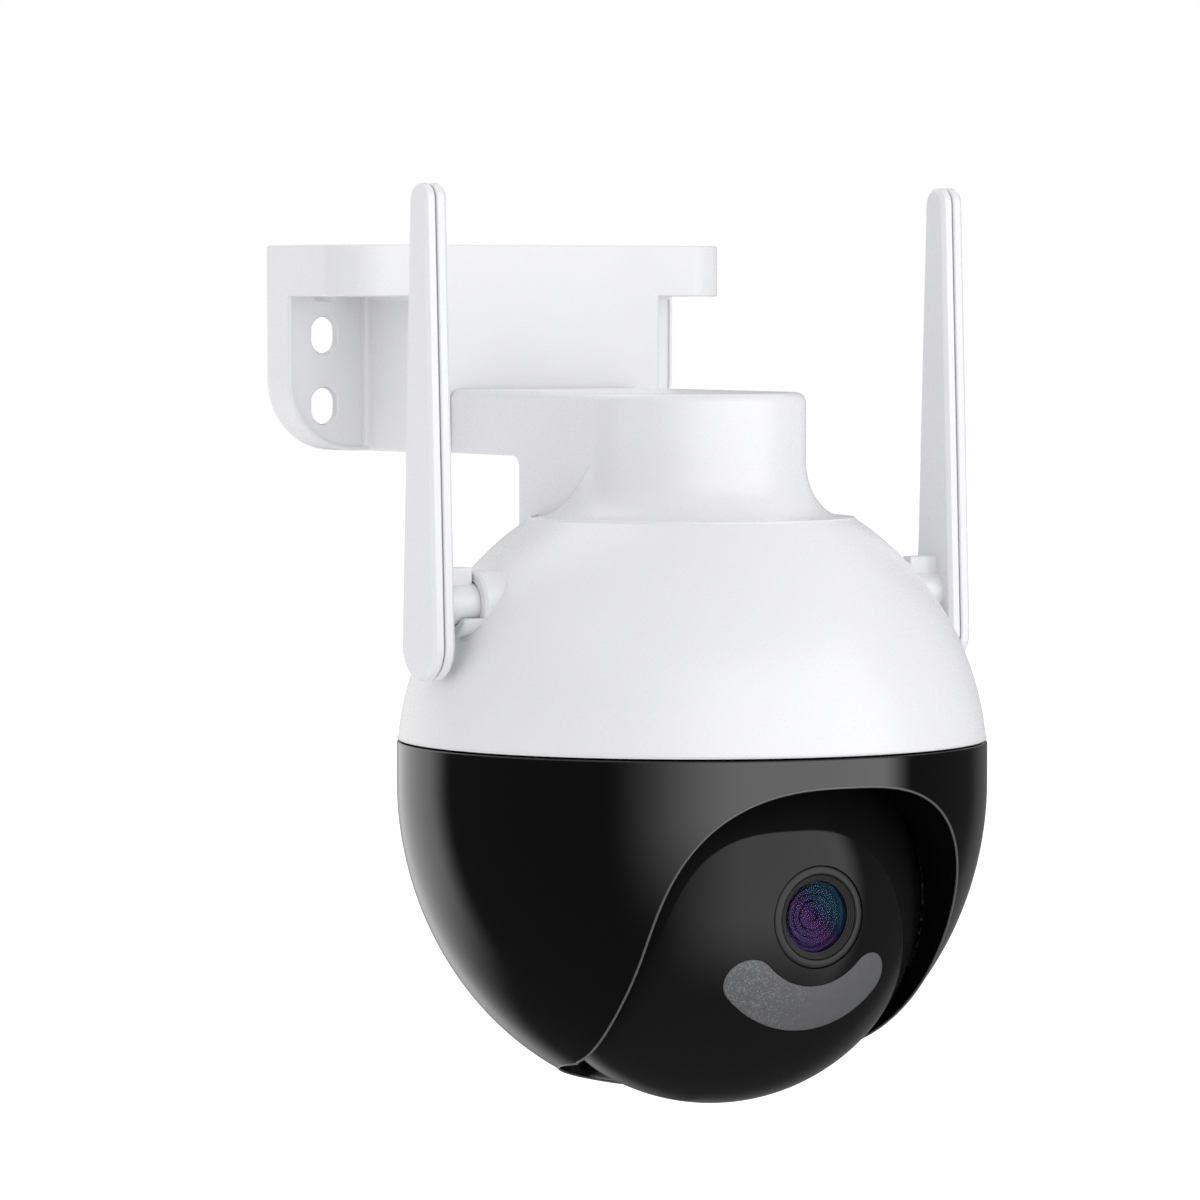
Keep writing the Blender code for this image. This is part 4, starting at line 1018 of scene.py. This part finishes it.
def makeLamp():
    window = newPiece("lamp_window", ball(eyeLook["radius"] - 0.12, 192, 96, "X"))
    carve(window, ("DIFFERENCE", [ball(eyeLook["radius"] - 2.4, 96, 48, "X")]),
          ("INTERSECT", [prism(lampOutline(), -45, -20, "Y")]))
    settle(window, atEye, sphereNormal(eyeLook["radius"] - 0.12), 30)
    dress(window, lampMaterial(), "lamp_diffuser", "eyeball", "light_diffuser")
    print("lamp window made")


# antennas
bladeLook = {"x": (54.35, 59.15), "split": 56.75, "low": -14.1, "high": 77.9, "bottomRadius": 6.5,
             "topRadius": 3.15, "chamfer": 0.75, "partLine": 0.22, "gap": 0.3}


def bladeOutline(inset=0.0):
    lowR, topR = bladeLook["bottomRadius"] - inset, bladeLook["topRadius"] - inset
    lowZ, topZ = bladeLook["low"] + bladeLook["bottomRadius"], bladeLook["high"] - bladeLook["topRadius"]
    lean = math.degrees(math.asin((lowR - topR) / (topZ - lowZ)))
    return arc(0, lowZ, lowR, 180 - lean, 360 + lean, 48) + arc(0, topZ, topR, lean, 180 - lean, 36)


def makeAntenna(name, side):
    innerX, outerX = bladeLook["x"]
    split, edge = bladeLook["split"], bladeLook["chamfer"]
    gap, part = bladeLook["gap"], bladeLook["partLine"]
    matrix = place(jointPivot(f"antenna_{name}_hinge"))

    def ends(levels):
        return [(side * x, inset) for x, inset in levels]

    levels = [(innerX, edge), (innerX + 0.12, edge * 0.72), (innerX + edge, 0.0),
              (split - gap / 2 - part, 0.0), (split - gap / 2, part)]
    inner = newPiece(f"antenna_{name}_inside_half", stack(bladeOutline, ends(levels), "X"))
    barrel = softCorner([(0.0, 35.2), (3.4, 35.2), (3.4, 36.8), (2.2, 36.8), (2.2, 38.3), (3.9, 38.3),
                         (3.9, innerX + 0.5), (0.0, innerX + 0.5)], 0.2)
    x0, x1 = sorted((side * 48.3, side * (innerX + 0.4)))
    lug = stack(lambda inset: rounded(-1.5, 1.5, 2.5, 6.9, (0, 0, 0.5, 0.5), inset, 4),
                softLevels(x0, x1, 0.35 if side > 0 else 0.0, 0.0 if side > 0 else 0.35, 3), "X")
    pocket = prism(bladeOutline(2.0), *sorted((side * (split - 1.15), side * (split + 1))), "X")
    bore = disc(1.1, *sorted((side * 34.0, side * (split + 0.5))), "X", sides=24)
    turned = lathe([(r, side * x) for r, x in barrel], 64, "X")
    carve(inner, ("UNION", [turned, lug]), ("DIFFERENCE", [pocket, bore]))
    settle(inner, matrix, angle=28)
    dress(inner, paint["whiteShell"], "white_shell", f"antenna_{name}", f"antenna_{name}_inner")
    levels = [(split + gap / 2, part), (split + gap / 2 + part, 0.0), (outerX - edge, 0.0),
              (outerX - 0.12, edge * 0.72), (outerX, edge)]
    outer = newPiece(f"antenna_{name}_outside_half", stack(bladeOutline, ends(levels), "X"))
    pocket = prism(bladeOutline(2.0), *sorted((side * (split - 1), side * (split + 1.15))), "X")
    carve(outer, ("DIFFERENCE", [pocket]))
    settle(outer, matrix, angle=28)
    dress(outer, paint["whiteShell"], "white_shell", f"antenna_{name}", f"antenna_{name}_outer")
    print("antenna made:", name)


# fixings
def makeFixings():
    tree = screwTree()
    middle = 64.3
    head = 21.6 + 2.5      # inside the bracket's front wall, from the dome centre
    screwGroups = [
        ("arm_screws", "bracket_and_dome", [(-14.0, head, middle), (14.0, head, middle)], (0, -1, 0),
         (2.5, 8.0), ["arm_screw_left", "arm_screw_right"]),
        ("neck_screws", "bracket_and_dome", [(-20.5, 0, 42.1), (20.5, 0, 42.1)], (0, 0, -1),
         (2.5, 8.4), ["neck_screw_left", "neck_screw_right"]),
    ]
    for ring, body, z, length, way in (("carrier", "bracket_and_dome", 24.3, 6.2, -1),
                                       ("head", "pan_head", 4.0, 12.0, 1)):
        spots = [(x, y, z) for x, y in spotsRound(*screwRings[ring])]
        nodes = [f"{ring}_screw_{k}" for k in range(1, len(spots) + 1)]
        screwGroups.append((ring + "_screws", body, spots, (0, 0, way), (2.5, length), nodes))
    for name, body, spots, aim, (radius, length), nodes in screwGroups:
        sizes = {"Head Radius": radius * mm, "Head Height": 1.6 * mm, "Shank Radius": 1.2 * mm,
                 "Shank Length": length * mm, "Aim": aim, "Finish": paint["screwSteel"]}
        screws = runTree(name, tree, sizes, spots)
        settle(screws, atDome, angle=30)
        dress(screws, paint["screwSteel"], "screw_steel", body, *nodes)
    print("screws made")


# carried-over pieces keep their shape and get a finish
finishNodes = {
    "rubber": ("cable_grommet", "neck_gasket"),
    "frameGrey": ("pan_carrier", "head_frame", "pan_retainer"),
    "screwSteel": ("pan_bearing", "eye_screw_1", "eye_screw_2", "antenna_left_clip", "antenna_right_clip"),
    "motorCan": ("pan_motor", "wifi_module", "tilt_motor"),
    "board": ("main_board", "card_board", "sensor_board", "light_board"),
    # the tilt bushes and trunnions are matte black as painted shade, so the gap round the ball stays dark
    "matteBlackAndGapShade": ("tilt_bush_left", "tilt_bush_right", "trunnion_left", "trunnion_right", "lens_holder",
                   "reset_button"),
    "acetal": ("pan_gear", "tilt_gear", "pan_pinion", "tilt_pinion"),
    "paperCone": ("speaker",),
    "led": ("led_1", "led_2", "led_3", "led_4"),
    "copper": ("antenna_left_element", "antenna_right_element"),
}
nodeFinish = {node: finish for finish, nodes in finishNodes.items() for node in nodes}


def dressFrame():
    for name, obj in frame["nodes"].items():
        if obj.hide_render:
            continue
        material = paint[nodeFinish[name]]
        if not obj.material_slots:
            obj.data.materials.append(material)
        for slot in obj.material_slots:
            slot.material = material
    print("frame pieces finished")


# studio
studio = {"floorHeight": -0.30, "floorHalf": 9.0, "skyRadius": 4.0, "brightSide": (0.66, -0.7, -0.06),
          "level": (0.76, 1.34), "floorGlow": 0.35}


def makeFloor():
    mesh = bpy.data.meshes.new("floor")
    half, z = studio["floorHalf"], studio["floorHeight"]
    corners = [(-half, -half, z), (half, -half, z), (half, half, z), (-half, half, z)]
    mesh.from_pydata(corners, [], [(0, 1, 2, 3)])
    floor = bpy.data.objects.new("floor", mesh)
    bpy.context.scene.collection.objects.link(floor)
    material, tree, shader, where = newMaterial("paleFloor")
    shade = spread(tree, noise(tree, where, 3.0), 0.0, 1.0)
    put(tree, shader, {"Base Color": mixColour(tree, shade, (0.86, 0.86, 0.86), (0.88, 0.88, 0.88)),
                       "Roughness": 0.9, "Emission Color": (1, 1, 1, 1),
                       "Emission Strength": studio["floorGlow"]})
    mesh.materials.append(material)
    floor.visible_glossy = False


def makeWorld():
    world = bpy.data.worlds.new("studio")
    bpy.context.scene.world = world
    world.use_nodes = True
    tree = world.node_tree
    ray = addNode(tree, "ShaderNodeLightPath").outputs["Is Camera Ray"]
    where = addNode(tree, "ShaderNodeTexCoord").outputs["Generated"]
    bright = Vector(studio["brightSide"]).normalized()
    aim = addNode(tree, "ShaderNodeVectorMath", {0: where, 1: bright}, operation="DOT_PRODUCT")
    level = remap(tree, aim.outputs["Value"], (-1.0, 1.0), studio["level"])
    pick = addNode(tree, "ShaderNodeMix", {"Factor": ray, "A": level, "B": 1.0}, data_type="FLOAT")
    put(tree, tree.nodes["Background"], {"Strength": pick.outputs["Result"], "Color": (1, 1, 1, 1)})
    world.cycles_visibility.glossy = False


# what polished surfaces see: azimuth 0 is straight towards the viewer's side, positive to the right
skyFacing = 240.0      # the compass angle of azimuth 0, in degrees
softboxes = [
    # azimuth window (fade in, full, full, fade out), elevation window, strength
    {"azimuth": (-34, 24, 74, 92), "elevation": (-56, -6, 36, 42), "strength": 3.0},
    {"azimuth": (-182, -156, -124, -106), "elevation": (-44, -14, 60, 80), "strength": 1.1},
    {"azimuth": (132, 150, 350, 360), "elevation": (-48, -22, 60, 80), "strength": 0.12},
    {"azimuth": (-360, -350, 350, 360), "elevation": (24, 50, 91, 92), "strength": 1.0},
]
skyBase = 0.06


# a far sphere that only glossy rays see, with the softboxes drawn on it by direction
def makeSky():
    sky = newPiece("softbox_sphere", ball(studio["skyRadius"] / mm, 48, 24, "Z"))
    material, tree, shader, where = newMaterial("softboxes")
    tree.nodes.remove(shader)
    sockets = {"Rotation": (0, 0, math.radians(-skyFacing)), "Vector": where}
    turned = addNode(tree, "ShaderNodeMapping", sockets, vector_type="POINT")
    unit = addNode(tree, "ShaderNodeVectorMath", {0: turned.outputs["Vector"]}, operation="NORMALIZE")
    parts = splitParts(tree, unit.outputs[0])
    azimuth = maths(tree, "DEGREES", maths(tree, "ARCTAN2", parts["Y"], parts["X"]))
    elevation = maths(tree, "DEGREES", maths(tree, "ARCSINE", parts["Z"]))

    def window(value, limits):
        rise = remap(tree, value, limits[:2], curve="SMOOTHSTEP")
        fall = remap(tree, value, limits[:1:-1], curve="SMOOTHSTEP")
        return maths(tree, "MULTIPLY", rise, fall)

    total = maths(tree, "ADD", skyBase, 0.0)
    for box in softboxes:
        lit = maths(tree, "MULTIPLY", window(azimuth, box["azimuth"]), window(elevation, box["elevation"]))
        total = maths(tree, "ADD", total, maths(tree, "MULTIPLY", lit, box["strength"]))
    glow = addNode(tree, "ShaderNodeEmission", {"Strength": total})
    link(tree, glow.outputs[0], tree.nodes["Material Output"].inputs["Surface"])
    sky.data.materials.append(material)
    material.cycles.emission_sampling = "NONE"
    for name in ("camera", "diffuse", "transmission", "volume_scatter", "shadow"):
        setattr(sky, "visible_" + name, False)


def makeLights():
    look = {"place": (1.5, -0.9, 0.25), "target": (0, -0.06, -0.05), "size": 0.8, "power": 3.0}
    light = bpy.data.lights.new("key", "AREA")
    light.size = look["size"]
    light.energy = look["power"]
    obj = bpy.data.objects.new("key", light)
    obj.location = look["place"]
    aim = Vector(look["target"]) - Vector(look["place"])
    obj.rotation_mode = "QUATERNION"
    obj.rotation_quaternion = aim.to_track_quat("-Z", "Y")
    obj.visible_glossy = False
    bpy.context.scene.collection.objects.link(obj)


def makeCamera():
    look = {"place": (-0.6051, -1.1040, 0.0101), "turn": 30.0, "down": 2.784, "lens": 186.9}
    turn, down = math.radians(look["turn"]), math.radians(look["down"])
    data = bpy.data.cameras.new("camera")
    data.lens = look["lens"]
    data.sensor_width = 36.0
    camera = bpy.data.objects.new("camera", data)
    camera.location = look["place"]
    aim = Vector((math.sin(turn) * math.cos(down), math.cos(turn) * math.cos(down), -math.sin(down)))
    camera.rotation_mode = "QUATERNION"
    camera.rotation_quaternion = aim.to_track_quat("-Z", "Y")
    bpy.context.scene.collection.objects.link(camera)
    bpy.context.scene.camera = camera
    bpy.context.scene.view_settings.view_transform = "Standard"


makeCamera()
makeFloor()
makeWorld()
makeSky()
makeLights()
makeBracket()
makeArm()
makeDome()
makeHead()
makeServiceCover()
makeEye()
makeLens()
makeLamp()
makeAntenna("left", -1)
makeAntenna("right", 1)
makeFixings()
dressFrame()
